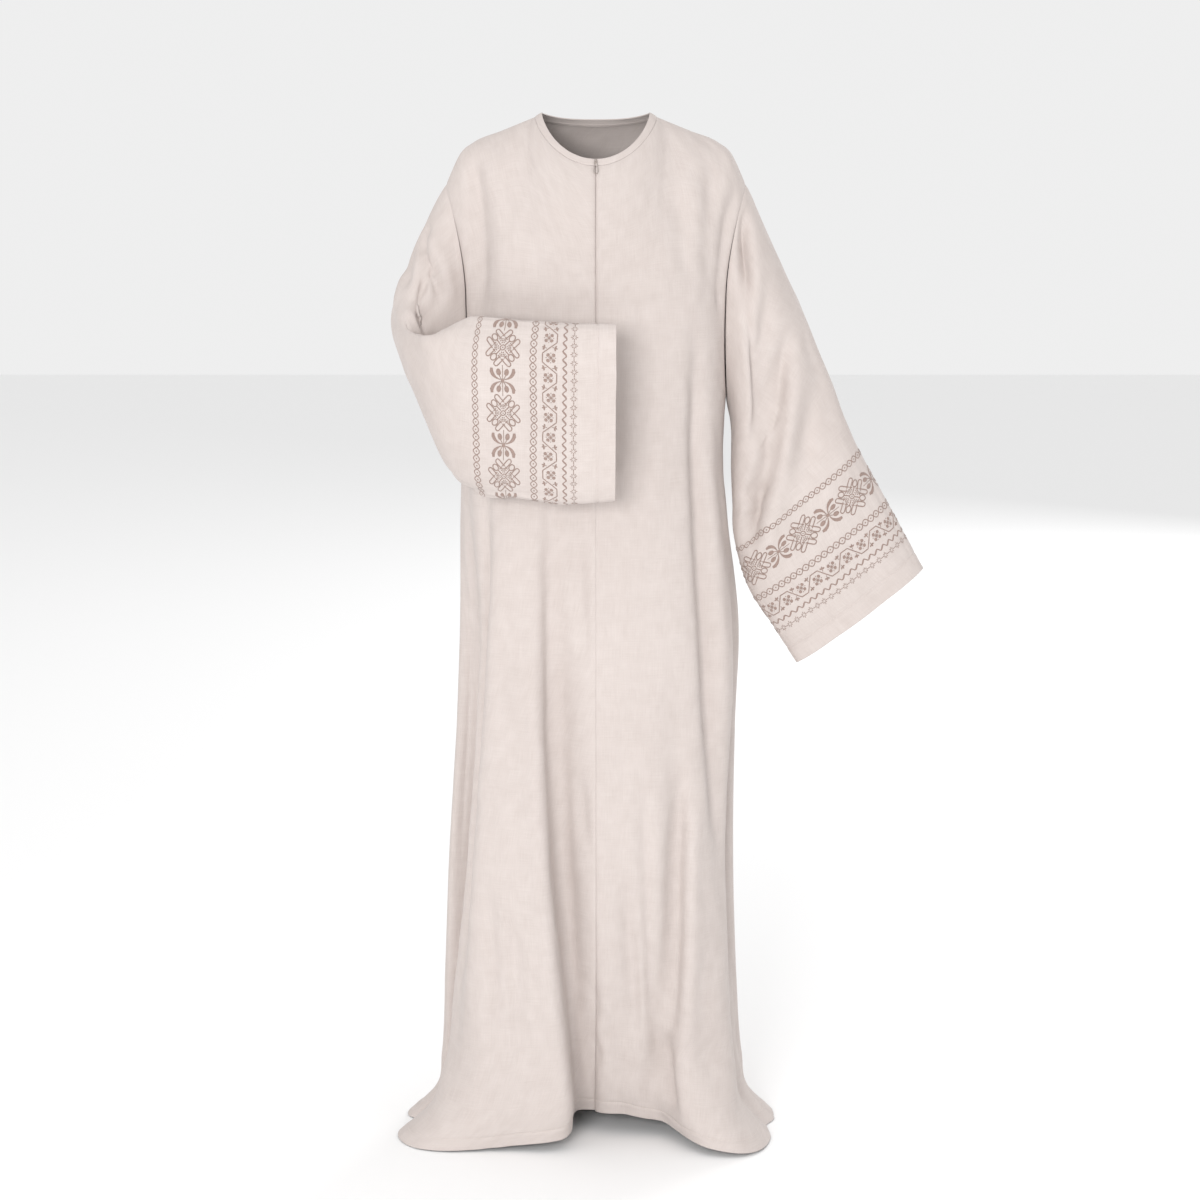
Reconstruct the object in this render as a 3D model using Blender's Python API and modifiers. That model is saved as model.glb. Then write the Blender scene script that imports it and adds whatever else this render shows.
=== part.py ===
"""A long robe with wide sleeves (an abaya), worn and filled out, as a maker cuts it.

The cloth pieces are two front halves that meet at a hidden zip and a centre seam, one back,
two sleeves and a narrow neck band. The zip has a slider and a teardrop pull.
The robe faces -Y, its wearer's left is +X, and Z points up. The origin lies midway between
the two high points of the shoulders, where neck and shoulder seam meet.

Girth is measured by a turn number: 0 at centre front, 1 at the wearer's left side seam,
2 at centre back and 3 (the same as -1) at the right side seam.
"""

import math
from collections import namedtuple

import bmesh
import bpy
import numpy as np
from mathutils import Matrix

# Cloth and seams, metres
WALL = 0.0015
BAND_WALL = 0.0019
SEAM_GAP = 0.0003
SAME_POINT = 0.00001

# Main heights below the high shoulder points
CHEST = -0.250
UNDERARM = -0.385
FLOOR = -1.446

# Neckline of the cloth, where the band is sewn on
NECK_HALF_WIDTH = 0.084
NECK_FRONT = 0.083
NECK_BACK = 0.054
NECK_FRONT_DROP = 0.062
NECK_BACK_DROP = 0.014
NECK_ROUND = 1.5

# Neck band: how far it leans in and rises at the centre and at the shoulder
BAND_IN_CENTRE = 0.0045
BAND_IN_SHOULDER = 0.0100
BAND_RISE_CENTRE = 0.0090
BAND_RISE_SHOULDER = 0.0060

# Share of a panel's top edge that is neckline, and the armhole's turn number at chest height
NECK_SHARE = 0.40
ARMHOLE_TURN = 0.76

# A section is rounder than an ellipse by this power
SECTION_POWER = 2.35

# Grid of the pieces: spaces between rows and between columns
NECK_COLUMNS = 8
SHOULDER_COLUMNS = 12
YOKE_ROWS = 8
ARMHOLE_ROWS = 4
SKIRT_ROWS = 15
SLEEVE_ROWS = 20
HEM_CROWDING = 0.22

# The shoulder seam from the neck over the shoulder to the dropped armhole
SeamPoint = namedtuple("SeamPoint", "share out drop")
SHOULDER_SEAM = (
    SeamPoint(0.00, 0.084, 0.000),
    SeamPoint(0.38, 0.131, -0.019),
    SeamPoint(0.68, 0.168, -0.034),
    SeamPoint(0.84, 0.187, -0.050),
    SeamPoint(1.00, 0.207, -0.092),
)

# How the cloth leaves the top edge and reaches chest height, by share of the top edge
Yoke = namedtuple("Yoke", "share out ahead fall rise")
FRONT_YOKE = (
    Yoke(0.00, 0.000, 0.022, 0.034, 0.090),
    Yoke(0.20, 0.018, 0.024, 0.028, 0.090),
    Yoke(0.33, 0.027, 0.025, 0.024, 0.095),
    Yoke(0.42, 0.026, 0.035, 0.021, 0.100),
    Yoke(0.54, 0.018, 0.047, 0.018, 0.105),
    Yoke(0.70, 0.007, 0.053, 0.018, 0.105),
    Yoke(0.88, 0.003, 0.048, 0.016, 0.085),
    Yoke(1.00, -0.002, 0.038, 0.010, 0.075),
)
BACK_YOKE = (
    Yoke(0.00, 0.000, 0.022, 0.026, 0.110),
    Yoke(0.20, 0.016, 0.024, 0.022, 0.110),
    Yoke(0.33, 0.025, 0.024, 0.020, 0.110),
    Yoke(0.42, 0.024, 0.034, 0.018, 0.110),
    Yoke(0.54, 0.016, 0.045, 0.018, 0.110),
    Yoke(0.70, 0.007, 0.050, 0.018, 0.105),
    Yoke(0.88, 0.003, 0.045, 0.016, 0.085),
    Yoke(1.00, -0.002, 0.036, 0.010, 0.075),
)

# Level sections of the body, one row each: reach to the wearer's right and left, front and back
Section = namedtuple("Section", "name height right left front back")
SECTIONS = (
    Section("chest", -0.250, 0.187, 0.187, 0.126, 0.108),
    Section("underarm", -0.385, 0.184, 0.181, 0.134, 0.104),
    Section("waist", -0.480, 0.188, 0.177, 0.138, 0.104),
    Section("below_waist", -0.560, 0.191, 0.185, 0.140, 0.106),
    Section("hip", -0.700, 0.193, 0.202, 0.142, 0.112),
    Section("thigh", -0.850, 0.199, 0.199, 0.143, 0.120),
    Section("knee", -1.050, 0.212, 0.198, 0.145, 0.130),
    Section("calf", -1.230, 0.220, 0.204, 0.146, 0.140),
    Section("shin", -1.350, 0.226, 0.213, 0.145, 0.148),
    Section("flare", -1.405, 0.236, 0.223, 0.144, 0.156),
    Section("hem", -1.446, 0.276, 0.260, 0.138, 0.174),
)

# Folds of the skirt, one row each. A fold begins at a height, wanders from one turn number
# to another and sinks in (a negative depth stands out); lean drags it sideways by that share
Fold = namedtuple(
    "Fold", "name start t_start t_mid t_hem deep_mid deep_hem wide_mid wide_hem lean"
)
FOLDS = (
    Fold("main_valley", -0.42, -0.20, -0.165, -0.040, 0.028, 0.060, 0.070, 0.045, -0.40),
    Fold("left_lobe", -0.50, -0.42, -0.400, -0.520, -0.010, -0.028, 0.130, 0.150, 0.0),
    Fold("lobe_edge", -0.80, -0.24, -0.220, -0.130, -0.004, -0.008, 0.050, 0.060, -2.20),
    Fold("centre_recess", -0.80, 0.10, 0.110, 0.110, 0.016, 0.068, 0.130, 0.115, 0.0),
    Fold("second_valley", -0.72, 0.36, 0.345, 0.250, 0.012, 0.030, 0.045, 0.042, 0.30),
    Fold("left_corner", -1.24, 0.50, 0.50, 0.48, -0.004, -0.058, 0.120, 0.140, 0.0),
    Fold("right_corner", -1.24, -0.66, -0.66, -0.66, -0.004, -0.026, 0.120, 0.140, 0.0),
    Fold("left_side_crease", -0.40, 0.74, 0.86, 0.80, 0.018, 0.010, 0.050, 0.060, 0.0),
    Fold("right_side_crease", -0.44, -0.74, -0.84, -0.90, 0.024, 0.026, 0.055, 0.050, 0.0),
    Fold("back_left_fold", -0.46, 1.36, 1.34, 1.36, 0.014, 0.042, 0.080, 0.095, 0.0),
    Fold("back_centre_fold", -0.40, 1.86, 1.88, 1.80, 0.018, 0.052, 0.085, 0.100, 0.20),
    Fold("back_right_fold", -0.52, 2.34, 2.30, 2.36, 0.016, 0.046, 0.075, 0.090, -0.20),
    Fold("back_side_fold", -0.60, 2.70, 2.68, 2.70, 0.008, 0.026, 0.060, 0.080, 0.0),
)

# Lift of the hem off the floor, in front between the feet
HEM_LIFT = 0.030
HEM_LIFT_TURN = 0.07
HEM_LIFT_WIDTH = 0.20
HEM_LIFT_POWER = 4

# Sleeve rings, one row each, from the armhole to the cuff: distance from the cuff, then the
# ring's upper or outer edge, its lower or inner edge and its half depth in front of the middle
Ring = namedtuple("Ring", "from_cuff out_x out_y out_z in_x in_y in_z ahead_x ahead_y ahead_z")
HANGING_SLEEVE = (
    Ring(0.500, 0.239, 0.004, -0.162, 0.1890, -0.006, -0.428, 0.0, -0.066, 0.0),
    Ring(0.400, 0.284, 0.002, -0.260, 0.1890, -0.012, -0.484, 0.0, -0.060, 0.0),
    Ring(0.300, 0.325, -0.002, -0.356, 0.1915, -0.018, -0.538, 0.0, -0.054, 0.0),
    Ring(0.200, 0.364, -0.008, -0.452, 0.1960, -0.024, -0.590, 0.0, -0.047, 0.0),
    Ring(0.130, 0.397, -0.013, -0.512, 0.2130, -0.027, -0.648, 0.0, -0.042, 0.0),
    Ring(0.065, 0.429, -0.018, -0.570, 0.2470, -0.030, -0.704, 0.0, -0.038, 0.0),
    Ring(0.000, 0.459, -0.022, -0.626, 0.2830, -0.033, -0.758, 0.0, -0.034, 0.0),
)
BENT_SLEEVE = (
    Ring(0.500, -0.242, 0.012, -0.160, -0.209, -0.008, -0.390, -0.002, -0.070, 0.014),
    Ring(0.440, -0.266, 0.018, -0.222, -0.211, -0.036, -0.372, -0.004, -0.074, 0.026),
    Ring(0.385, -0.283, 0.014, -0.288, -0.207, -0.076, -0.336, -0.010, -0.064, 0.040),
    Ring(0.325, -0.261, -0.022, -0.352, -0.197, -0.112, -0.296, -0.022, -0.060, 0.036),
    Ring(0.275, -0.224, -0.068, -0.418, -0.183, -0.140, -0.270, -0.026, -0.054, 0.014),
    Ring(0.235, -0.196, -0.108, -0.478, -0.171, -0.158, -0.259, -0.018, -0.044, 0.000),
    Ring(0.197, -0.160, -0.144, -0.499, -0.158, -0.170, -0.257, -0.010, -0.036, 0.0),
    Ring(0.130, -0.103, -0.174, -0.502, -0.100, -0.190, -0.260, -0.004, -0.032, 0.0),
    Ring(0.065, -0.040, -0.198, -0.506, -0.038, -0.210, -0.262, -0.002, -0.031, 0.0),
    Ring(0.000, 0.026, -0.214, -0.498, 0.027, -0.228, -0.262, 0.0, -0.031, 0.0),
)
SLEEVE_LENGTH = 0.600
SLEEVE_GIRTH = 0.540

# Creases of the sleeves, one row each: from one place to another, each given by its distance
# from the cuff and its angle round the ring, from the upper edge over the front
Crease = namedtuple("Crease", "name from_start angle_start from_end angle_end deep wide")
HANGING_CREASES = (
    Crease("under_shoulder", 0.520, 70, 0.340, 96, 0.012, 0.022),
    Crease("long_diagonal", 0.330, 50, 0.110, 118, 0.010, 0.026),
    Crease("back_diagonal", 0.470, 285, 0.160, 235, 0.013, 0.030),
)
BENT_CREASES = (
    Crease("arm_front", 0.520, 62, 0.420, 88, 0.010, 0.022),
    Crease("crook", 0.345, 172, 0.372, 56, 0.010, 0.030),
    Crease("elbow_back", 0.430, 300, 0.260, 250, 0.014, 0.030),
)
CREASE_FADE = 0.35

# Zip slider and pull, sizes in their own plane: across, along the zip and out from the cloth
ZIP_CHORD = 0.20
SLIDER_RISE = 0.0062
SLIDER_LENGTH = 0.0070
SLIDER_WIDTH = 0.0034
SLIDER_BASE = 0.0009
SLIDER_ROUNDING = 0.0003
SLIDER_STANDOFF = 0.0007
BRIDGE_WIDTH = 0.0012
BRIDGE_WALL = 0.0007
BRIDGE_FOOT = 0.0003
BRIDGE_WINDOW_LENGTH = 0.0027
BRIDGE_WINDOW_HEIGHT = 0.0020
PULL_THICKNESS = 0.0010
PULL_LENGTH = 0.0205
PULL_TOP_WIDTH = 0.0039
PULL_WIDTH = 0.0068
PULL_RAIL = 0.0010
PULL_TILT = math.radians(-3.0)
PULL_ARC_STEPS = 9

LINEN = ("linen", (0.745, 0.680, 0.650, 1.0), 0.86, 0.0)
METAL = ("zip_metal", (0.560, 0.500, 0.470, 1.0), 0.38, 0.85)


def clear_scene():
    """Remove every object, so that the file starts empty."""
    for item in list(bpy.data.objects):
        bpy.data.objects.remove(item, do_unlink=True)


def material(look):
    """A plain Principled material from a name, colour, roughness and metallic value."""
    name, colour, roughness, metallic = look
    made = bpy.data.materials.get(name) or bpy.data.materials.new(name)
    made.use_nodes = True
    shader = made.node_tree.nodes["Principled BSDF"]
    shader.inputs["Base Color"].default_value = colour
    shader.inputs["Roughness"].default_value = roughness
    shader.inputs["Metallic"].default_value = metallic
    made.diffuse_color = colour
    return made


def curve(knots, values, at):
    """Smooth values through the rows of a table: cubic pieces with each row's mean slope."""
    knots = np.asarray(knots, float)
    values = np.asarray(values, float)
    slopes = np.gradient(values, knots, axis=0)
    at = np.clip(np.asarray(at, float), knots[0], knots[-1])
    low = np.clip(np.searchsorted(knots, at, side="right") - 1, 0, len(knots) - 2)
    span = knots[low + 1] - knots[low]
    step = (at - knots[low]) / span
    extra = (1,) * (values.ndim - 1)
    span = span.reshape(span.shape + extra)
    step = step.reshape(step.shape + extra)
    start = (1 + 2 * step) * (1 - step) ** 2 * values[low]
    leave = step * (1 - step) ** 2 * span * slopes[low]
    end = step**2 * (3 - 2 * step) * values[low + 1]
    arrive = step**2 * (step - 1) * span * slopes[low + 1]
    return start + leave + end + arrive


def section_size(column, height):
    """One column of the section table, smooth over height."""
    rows = sorted(SECTIONS, key=lambda row: row.height)
    return curve([row.height for row in rows], [getattr(row, column) for row in rows], height)


def fold_place(fold, height):
    """Depth, width and turn number of a fold at each height."""
    knots = [FLOOR, 0.5 * (fold.start + FLOOR), fold.start]
    deep = curve(knots, [fold.deep_hem, fold.deep_mid, 0.0], height)
    deep = np.where(height > fold.start, 0.0, deep)
    wide = curve(knots, [fold.wide_hem, fold.wide_mid, fold.wide_mid], height)
    turn = curve(knots, [fold.t_hem, fold.t_mid, fold.t_start], height)
    return deep, wide, turn


def bell(turn, centre, wide):
    """A soft bump over the turn number, which closes after four quarter turns."""
    away = (turn - centre + 2) % 4 - 2
    return np.exp(-0.5 * (away / wide) ** 2)


def body_section(turn, height):
    """Points of the body's level sections: a rounded oval, with the folds pushed into it."""
    turn, height = np.broadcast_arrays(np.asarray(turn, float), np.asarray(height, float))
    side = np.sin(turn * math.pi / 2)
    ahead = np.cos(turn * math.pi / 2)
    roundness = np.abs(side) ** SECTION_POWER + np.abs(ahead) ** SECTION_POWER
    radius = roundness ** (-1 / SECTION_POWER)
    reach = np.where(side < 0, section_size("right", height), section_size("left", height))
    depth = np.where(ahead > 0, section_size("front", height), section_size("back", height))
    out_x = side / reach
    out_y = -ahead / depth
    size = np.hypot(out_x, out_y)
    push = np.zeros_like(turn)
    drag = np.zeros_like(turn)
    for fold in FOLDS:
        deep, wide, centre = fold_place(fold, height)
        sink = deep * bell(turn, centre, wide)
        push = push - sink
        drag = drag + fold.lean * sink
    x = reach * radius * side + (out_x * push - out_y * drag) / size
    y = -depth * radius * ahead + (out_y * push + out_x * drag) / size
    share = np.clip((CHEST - height) / (CHEST - FLOOR), 0, 1)
    lift = HEM_LIFT * bell(turn, HEM_LIFT_TURN, HEM_LIFT_WIDTH)
    return np.stack([x, y, height + lift * share**HEM_LIFT_POWER], axis=-1)


def armhole_turn(height):
    """Turn number of the armhole's edge: an ellipse quarter from chest height to underarm."""
    share = np.clip((CHEST - height) / (CHEST - UNDERARM), 0, 1)
    return 1 - (1 - ARMHOLE_TURN) * np.sqrt(1 - share**2)


def top_edge(share, front, side):
    """Neckline and shoulder seam on one side, by share of the panel's top edge."""
    neck = np.clip(share / NECK_SHARE, 0, 1) * math.pi / 2
    reach, sink = (-NECK_FRONT, NECK_FRONT_DROP) if front else (NECK_BACK, NECK_BACK_DROP)
    neckline = np.stack(
        [
            side * NECK_HALF_WIDTH * np.sin(neck),
            reach * np.cos(neck),
            -sink * np.abs(np.cos(neck)) ** NECK_ROUND,
        ],
        axis=-1,
    )
    along = np.clip((share - NECK_SHARE) / (1 - NECK_SHARE), 0, 1)
    knots = [row.share for row in SHOULDER_SEAM]
    out = side * curve(knots, [row.out for row in SHOULDER_SEAM], along)
    drop = curve(knots, [row.drop for row in SHOULDER_SEAM], along)
    seam = np.stack([out, np.zeros_like(out), drop], axis=-1)
    return np.where((share < NECK_SHARE)[..., None], neckline, seam)


def yoke(share, step, front, side):
    """Cloth from the top edge to chest height: a Bezier that leaves over the shoulder."""
    rows = FRONT_YOKE if front else BACK_YOKE
    knots = [row.share for row in rows]
    out, ahead, fall, rise = (
        curve(knots, [getattr(row, name) for row in rows], share)
        for name in ("out", "ahead", "fall", "rise")
    )
    forward = -1 if front else 1
    top = top_edge(share, front, side)
    turn = share * ARMHOLE_TURN if front else 2 - share * ARMHOLE_TURN
    chest = body_section(side * turn, CHEST)
    leave = top + np.stack([side * out, forward * ahead, -fall], axis=-1)
    still = np.zeros_like(rise)
    arrive = chest + np.stack([still, still, rise], axis=-1)
    step = step[..., None]
    return (
        (1 - step) ** 3 * top
        + 3 * step * (1 - step) ** 2 * leave
        + 3 * step**2 * (1 - step) * arrive
        + step**3 * chest
    )


def panel_shares():
    """Columns of half a panel: neckline first, then the shoulder."""
    neck = np.linspace(0, NECK_SHARE, NECK_COLUMNS + 1)
    shoulder = np.linspace(NECK_SHARE, 1, SHOULDER_COLUMNS + 1)[1:]
    return np.concatenate([neck, shoulder])


def row_levels():
    """Heights of the rows below chest height, closer together at the underarm and the hem."""
    quarter = np.linspace(0, math.pi / 2, ARMHOLE_ROWS + 1)[1:]
    armhole = CHEST + (UNDERARM - CHEST) * np.sin(quarter)
    step = np.linspace(0, 1, SKIRT_ROWS + 1)[1:]
    eased = (1 + HEM_CROWDING) * step - HEM_CROWDING * step**3
    return np.concatenate([armhole, UNDERARM + (FLOOR - UNDERARM) * eased])


def half_panel(front, side):
    """Grid of half a front or half a back, rows downward, columns from the centre outward."""
    share = panel_shares()
    step = np.linspace(0, 1, YOKE_ROWS + 1)
    upper = yoke(*np.broadcast_arrays(share[None, :], step[:, None]), front, side)
    height = row_levels()[:, None]
    turn = share[None, :] * armhole_turn(height)
    turn = turn if front else 2 - turn
    lower = body_section(side * turn, height)
    return np.concatenate([upper, lower], axis=0)


def ring_points(row, angles):
    """One sleeve ring: an oval from its two edges and its half depth."""
    out = np.array([row.out_x, row.out_y, row.out_z])
    inner = np.array([row.in_x, row.in_y, row.in_z])
    ahead = np.array([row.ahead_x, row.ahead_y, row.ahead_z])
    middle = (out + inner) / 2
    half = (out - inner) / 2
    return middle + np.cos(angles)[:, None] * half + np.sin(angles)[:, None] * ahead


def edge_angles(edge):
    """Angle from the shoulder tip to the underarm, by distance along an armhole edge."""
    steps = np.linalg.norm(np.diff(edge, axis=0), axis=1)
    along = np.concatenate([[0], np.cumsum(steps)])
    return math.pi * along / along[-1]


def crease_depth(crease, from_cuff, degrees):
    """Depth of a crease over the flat sleeve: a soft trough along a line, faded at its ends."""
    girth = SLEEVE_GIRTH / 360
    run = crease.from_end - crease.from_start
    turn = (crease.angle_end - crease.angle_start) * girth
    length = math.hypot(run, turn)
    ahead = from_cuff - crease.from_start
    aside = ((degrees - crease.angle_start + 180) % 360 - 180) * girth
    along = (ahead * run + aside * turn) / length**2
    across = (ahead * turn - aside * run) / length
    ends = np.clip(np.minimum(along, 1 - along) / CREASE_FADE, 0, 1)
    ends = ends**2 * (3 - 2 * ends)
    return crease.deep * ends * np.exp(-0.5 * (across / crease.wide) ** 2)


def sleeve_grid(front_edge, back_edge, rings, creases, side):
    """Loft of a sleeve from the armhole's own points through its rings, with its creases."""
    first, second = (back_edge, front_edge) if side > 0 else (front_edge, back_edge)
    armhole = np.concatenate([first, second[-2:0:-1]])
    angles = np.concatenate([edge_angles(first), 2 * math.pi - edge_angles(second)[-2:0:-1]])
    angles = -side * angles
    table = [armhole] + [ring_points(row, angles) for row in rings]
    knots = [0.0] + [SLEEVE_LENGTH - row.from_cuff for row in rings]
    along = np.linspace(0, SLEEVE_LENGTH, SLEEVE_ROWS + 1)
    grid = curve(knots, np.array(table), along)
    from_cuff = (SLEEVE_LENGTH - along)[:, None]
    degrees = np.degrees(angles)[None, :] % 360
    press = sum(crease_depth(crease, from_cuff, degrees) for crease in creases)
    return grid - press[..., None] * grid_normals(grid, True)


def band_grid(neckline):
    """The neck band: up and in from the neckline's own points, once round from the zip."""
    flat = neckline[:, :2] * np.array([1.0, NECK_HALF_WIDTH / NECK_FRONT])
    outward = flat / np.linalg.norm(flat, axis=1, keepdims=True)
    side = outward[:, 0] ** 2
    lean = BAND_IN_CENTRE + (BAND_IN_SHOULDER - BAND_IN_CENTRE) * side
    rise = BAND_RISE_CENTRE + (BAND_RISE_SHOULDER - BAND_RISE_CENTRE) * side
    step = np.column_stack([-outward[:, 0] * lean, -outward[:, 1] * lean, rise])
    return np.stack([neckline + step, neckline + 0.5 * step, neckline])


def unit(vectors):
    """Vectors of length one."""
    return vectors / np.maximum(np.linalg.norm(vectors, axis=-1, keepdims=True), 1e-12)


def grid_normals(grid, closed):
    """Outward normals of a grid: its downward steps crossed with its steps round the body."""
    down = np.gradient(grid, axis=0)
    if closed:
        across = (np.roll(grid, -1, axis=1) - np.roll(grid, 1, axis=1)) / 2
    else:
        across = np.gradient(grid, axis=1)
    return unit(np.cross(down, across))


Piece = namedtuple("Piece", "name grid closed wall seams look")


def seam_cells(piece):
    """Row and column numbers of a piece's sewn edges."""
    rows, columns = piece.grid.shape[:2]
    edges = {
        "top": [(0, column) for column in range(columns)],
        "bottom": [(rows - 1, column) for column in range(columns)],
        "first": [(row, 0) for row in range(rows)],
        "last": [(row, columns - 1) for row in range(rows)],
    }
    return sorted({cell for seam in piece.seams for cell in edges[seam]})


def shared_normals(pieces):
    """Normals of all pieces, made equal where sewn edges meet, so that their rims are parallel."""
    normals = [grid_normals(piece.grid, piece.closed) for piece in pieces]
    meeting = {}
    for number, piece in enumerate(pieces):
        for cell in seam_cells(piece):
            key = tuple(np.round(piece.grid[cell] / SAME_POINT).astype(int))
            meeting.setdefault(key, []).append((number, cell))
    for group in meeting.values():
        mean = unit(sum(normals[number][cell] for number, cell in group))
        for number, cell in group:
            normals[number][cell] = mean
    return normals


def inward(edge, normals, closed):
    """Directions in the cloth that stand square to an edge: its normal crossed with its run."""
    if closed:
        run = np.roll(edge, -1, axis=0) - np.roll(edge, 1, axis=0)
    else:
        run = np.gradient(edge, axis=0)
    return unit(np.cross(normals, run))


def open_seams(piece, normals):
    """Draw each sewn edge back into its piece by half the gap."""
    source = piece.grid
    grid = source.copy()
    half = SEAM_GAP / 2
    if "top" in piece.seams:
        grid[0] -= half * inward(source[0], normals[0], piece.closed)
    if "bottom" in piece.seams:
        grid[-1] += half * inward(source[-1], normals[-1], piece.closed)
    if "first" in piece.seams:
        grid[:, 0] += half * inward(source[:, 0], normals[:, 0], False)
    if "last" in piece.seams:
        grid[:, -1] -= half * inward(source[:, -1], normals[:, -1], False)
    return grid


def split_quads(points, a, b, c, d):
    """Two triangles for each four-sided face, cut across its shorter diagonal."""
    falling = np.linalg.norm(points[a] - points[c], axis=1)
    rising = np.linalg.norm(points[b] - points[d], axis=1)
    short = (falling <= rising)[:, None]
    one = np.where(short, np.column_stack([a, b, c]), np.column_stack([a, b, d]))
    two = np.where(short, np.column_stack([a, c, d]), np.column_stack([b, c, d]))
    return np.concatenate([one, two])


def wall_faces(points, rows, columns, closed):
    """Triangles of a wall: outer side, inner side turned over, and the rims between them."""
    shift = rows * columns
    corner = np.arange(shift).reshape(rows, columns)
    if closed:
        corner = np.column_stack([corner, corner[:, :1]])
    a, b = corner[:-1, :-1].ravel(), corner[1:, :-1].ravel()
    c, d = corner[1:, 1:].ravel(), corner[:-1, 1:].ravel()
    outer = split_quads(points, a, b, c, d)
    parts = [outer, outer[:, ::-1] + shift]
    rims = [corner[0], corner[-1, ::-1]]
    if not closed:
        rims += [corner[::-1, 0], corner[:, -1]]
    for rim in rims:
        parts.append(split_quads(points, rim[:-1], rim[1:], rim[1:] + shift, rim[:-1] + shift))
    return np.concatenate(parts)


def add_wall(piece, normals, group):
    """A cloth piece as a wall of even thickness inside its surface."""
    rows, columns = piece.grid.shape[:2]
    sewn = np.stack([piece.grid, piece.grid - piece.wall * normals]).reshape(-1, 3)
    faces = wall_faces(sewn, rows, columns, piece.closed)
    grid = open_seams(piece, normals)
    points = np.stack([grid, grid - piece.wall * normals]).reshape(-1, 3)
    mesh = bpy.data.meshes.new(piece.name)
    mesh.from_pydata(points.tolist(), [], faces.tolist())
    mesh.update()
    mesh.shade_smooth()
    mesh.materials.append(material(piece.look))
    item = bpy.data.objects.new(piece.name, mesh)
    group.objects.link(item)
    return item


def cloth_pieces():
    """The grids of all cloth pieces, each with the edges at which it is sewn."""
    front_right = half_panel(True, -1)[:, ::-1]
    front_left = half_panel(True, 1)
    back = np.concatenate([half_panel(False, 1)[:, ::-1], half_panel(False, -1)[:, 1:]], axis=1)
    top = slice(0, YOKE_ROWS + ARMHOLE_ROWS + 1)
    hanging = sleeve_grid(front_left[top, -1], back[top, 0], HANGING_SLEEVE, HANGING_CREASES, 1)
    bent = sleeve_grid(front_right[top, 0], back[top, -1], BENT_SLEEVE, BENT_CREASES, -1)
    neckline = np.concatenate(
        [
            front_left[0, : NECK_COLUMNS + 1],
            back[0, SHOULDER_COLUMNS + 1 : -SHOULDER_COLUMNS - 1],
            front_right[0, SHOULDER_COLUMNS:],
        ]
    )
    sides = ("top", "first", "last")
    ends = ("bottom", "first", "last")
    return [
        Piece("front_right", front_right, False, WALL, sides, LINEN),
        Piece("front_left", front_left, False, WALL, sides, LINEN),
        Piece("back", back, False, WALL, sides, LINEN),
        Piece("sleeve_right", bent, True, WALL, ("top",), LINEN),
        Piece("sleeve_left", hanging, True, WALL, ("top",), LINEN),
        Piece("neck_band", band_grid(neckline), False, BAND_WALL, ends, LINEN),
    ]


def zip_frame():
    """Frame on the neck band at the zip: across, up along the cloth's chord, and out from it."""
    shares = np.array([0.0, 0.0])
    top, below = yoke(shares, np.array([0.0, ZIP_CHORD]), True, 1)
    up = unit(top - below)
    top = top + SLIDER_RISE * up
    across = np.array([1.0, 0.0, 0.0])
    out = np.cross(across, up)
    frame = np.eye(4)
    frame[:3, 0], frame[:3, 1], frame[:3, 2], frame[:3, 3] = across, up, out, top
    return Matrix(frame.tolist())


def add_plate(name, outlines, thickness, group):
    """A plate from outlines in its own XY plane, the later ones being holes, as a welded mesh."""
    shape = bpy.data.curves.new(name, "CURVE")
    shape.dimensions = "2D"
    shape.fill_mode = "BOTH"
    shape.extrude = thickness / 2
    for outline in outlines:
        spline = shape.splines.new("POLY")
        spline.points.add(len(outline) - 1)
        for point, (across, up) in zip(spline.points, outline):
            point.co = (across, up, 0.0, 1.0)
        spline.use_cyclic_u = True
    drawn = bpy.data.objects.new(name + "_outline", shape)
    group.objects.link(drawn)
    evaluated = drawn.evaluated_get(bpy.context.evaluated_depsgraph_get())
    mesh = bpy.data.meshes.new_from_object(evaluated)
    bpy.data.objects.remove(drawn, do_unlink=True)
    shell = bmesh.new()
    shell.from_mesh(mesh)
    bmesh.ops.remove_doubles(shell, verts=shell.verts, dist=SAME_POINT)
    bmesh.ops.recalc_face_normals(shell, faces=shell.faces)
    shell.to_mesh(mesh)
    shell.free()
    mesh.materials.clear()
    mesh.materials.append(material(METAL))
    item = bpy.data.objects.new(name, mesh)
    group.objects.link(item)
    return item


def teardrop(length, top_width, full_width, top_height):
    """Outline of a teardrop that hangs from its narrow end: two arcs joined by straight flanks."""
    high, low = top_width / 2, full_width / 2
    high_centre = top_height - high
    low_centre = top_height - length + low
    lean = math.asin((low - high) / (high_centre - low_centre))
    upper = np.linspace(lean, math.pi - lean, PULL_ARC_STEPS)
    lower = np.linspace(math.pi - lean, 2 * math.pi + lean, 2 * PULL_ARC_STEPS)
    top_arc = [(high * math.cos(a), high_centre + high * math.sin(a)) for a in upper]
    low_arc = [(low * math.cos(a), low_centre + low * math.sin(a)) for a in lower]
    return top_arc + low_arc


def pull_axis_place(frame):
    """World place of the pull's hinge: the middle of the window under the slider's bridge."""
    height = SLIDER_STANDOFF + SLIDER_BASE + BRIDGE_WINDOW_HEIGHT / 2
    return frame @ Matrix.Translation((0.0, 0.0, height))


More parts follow.
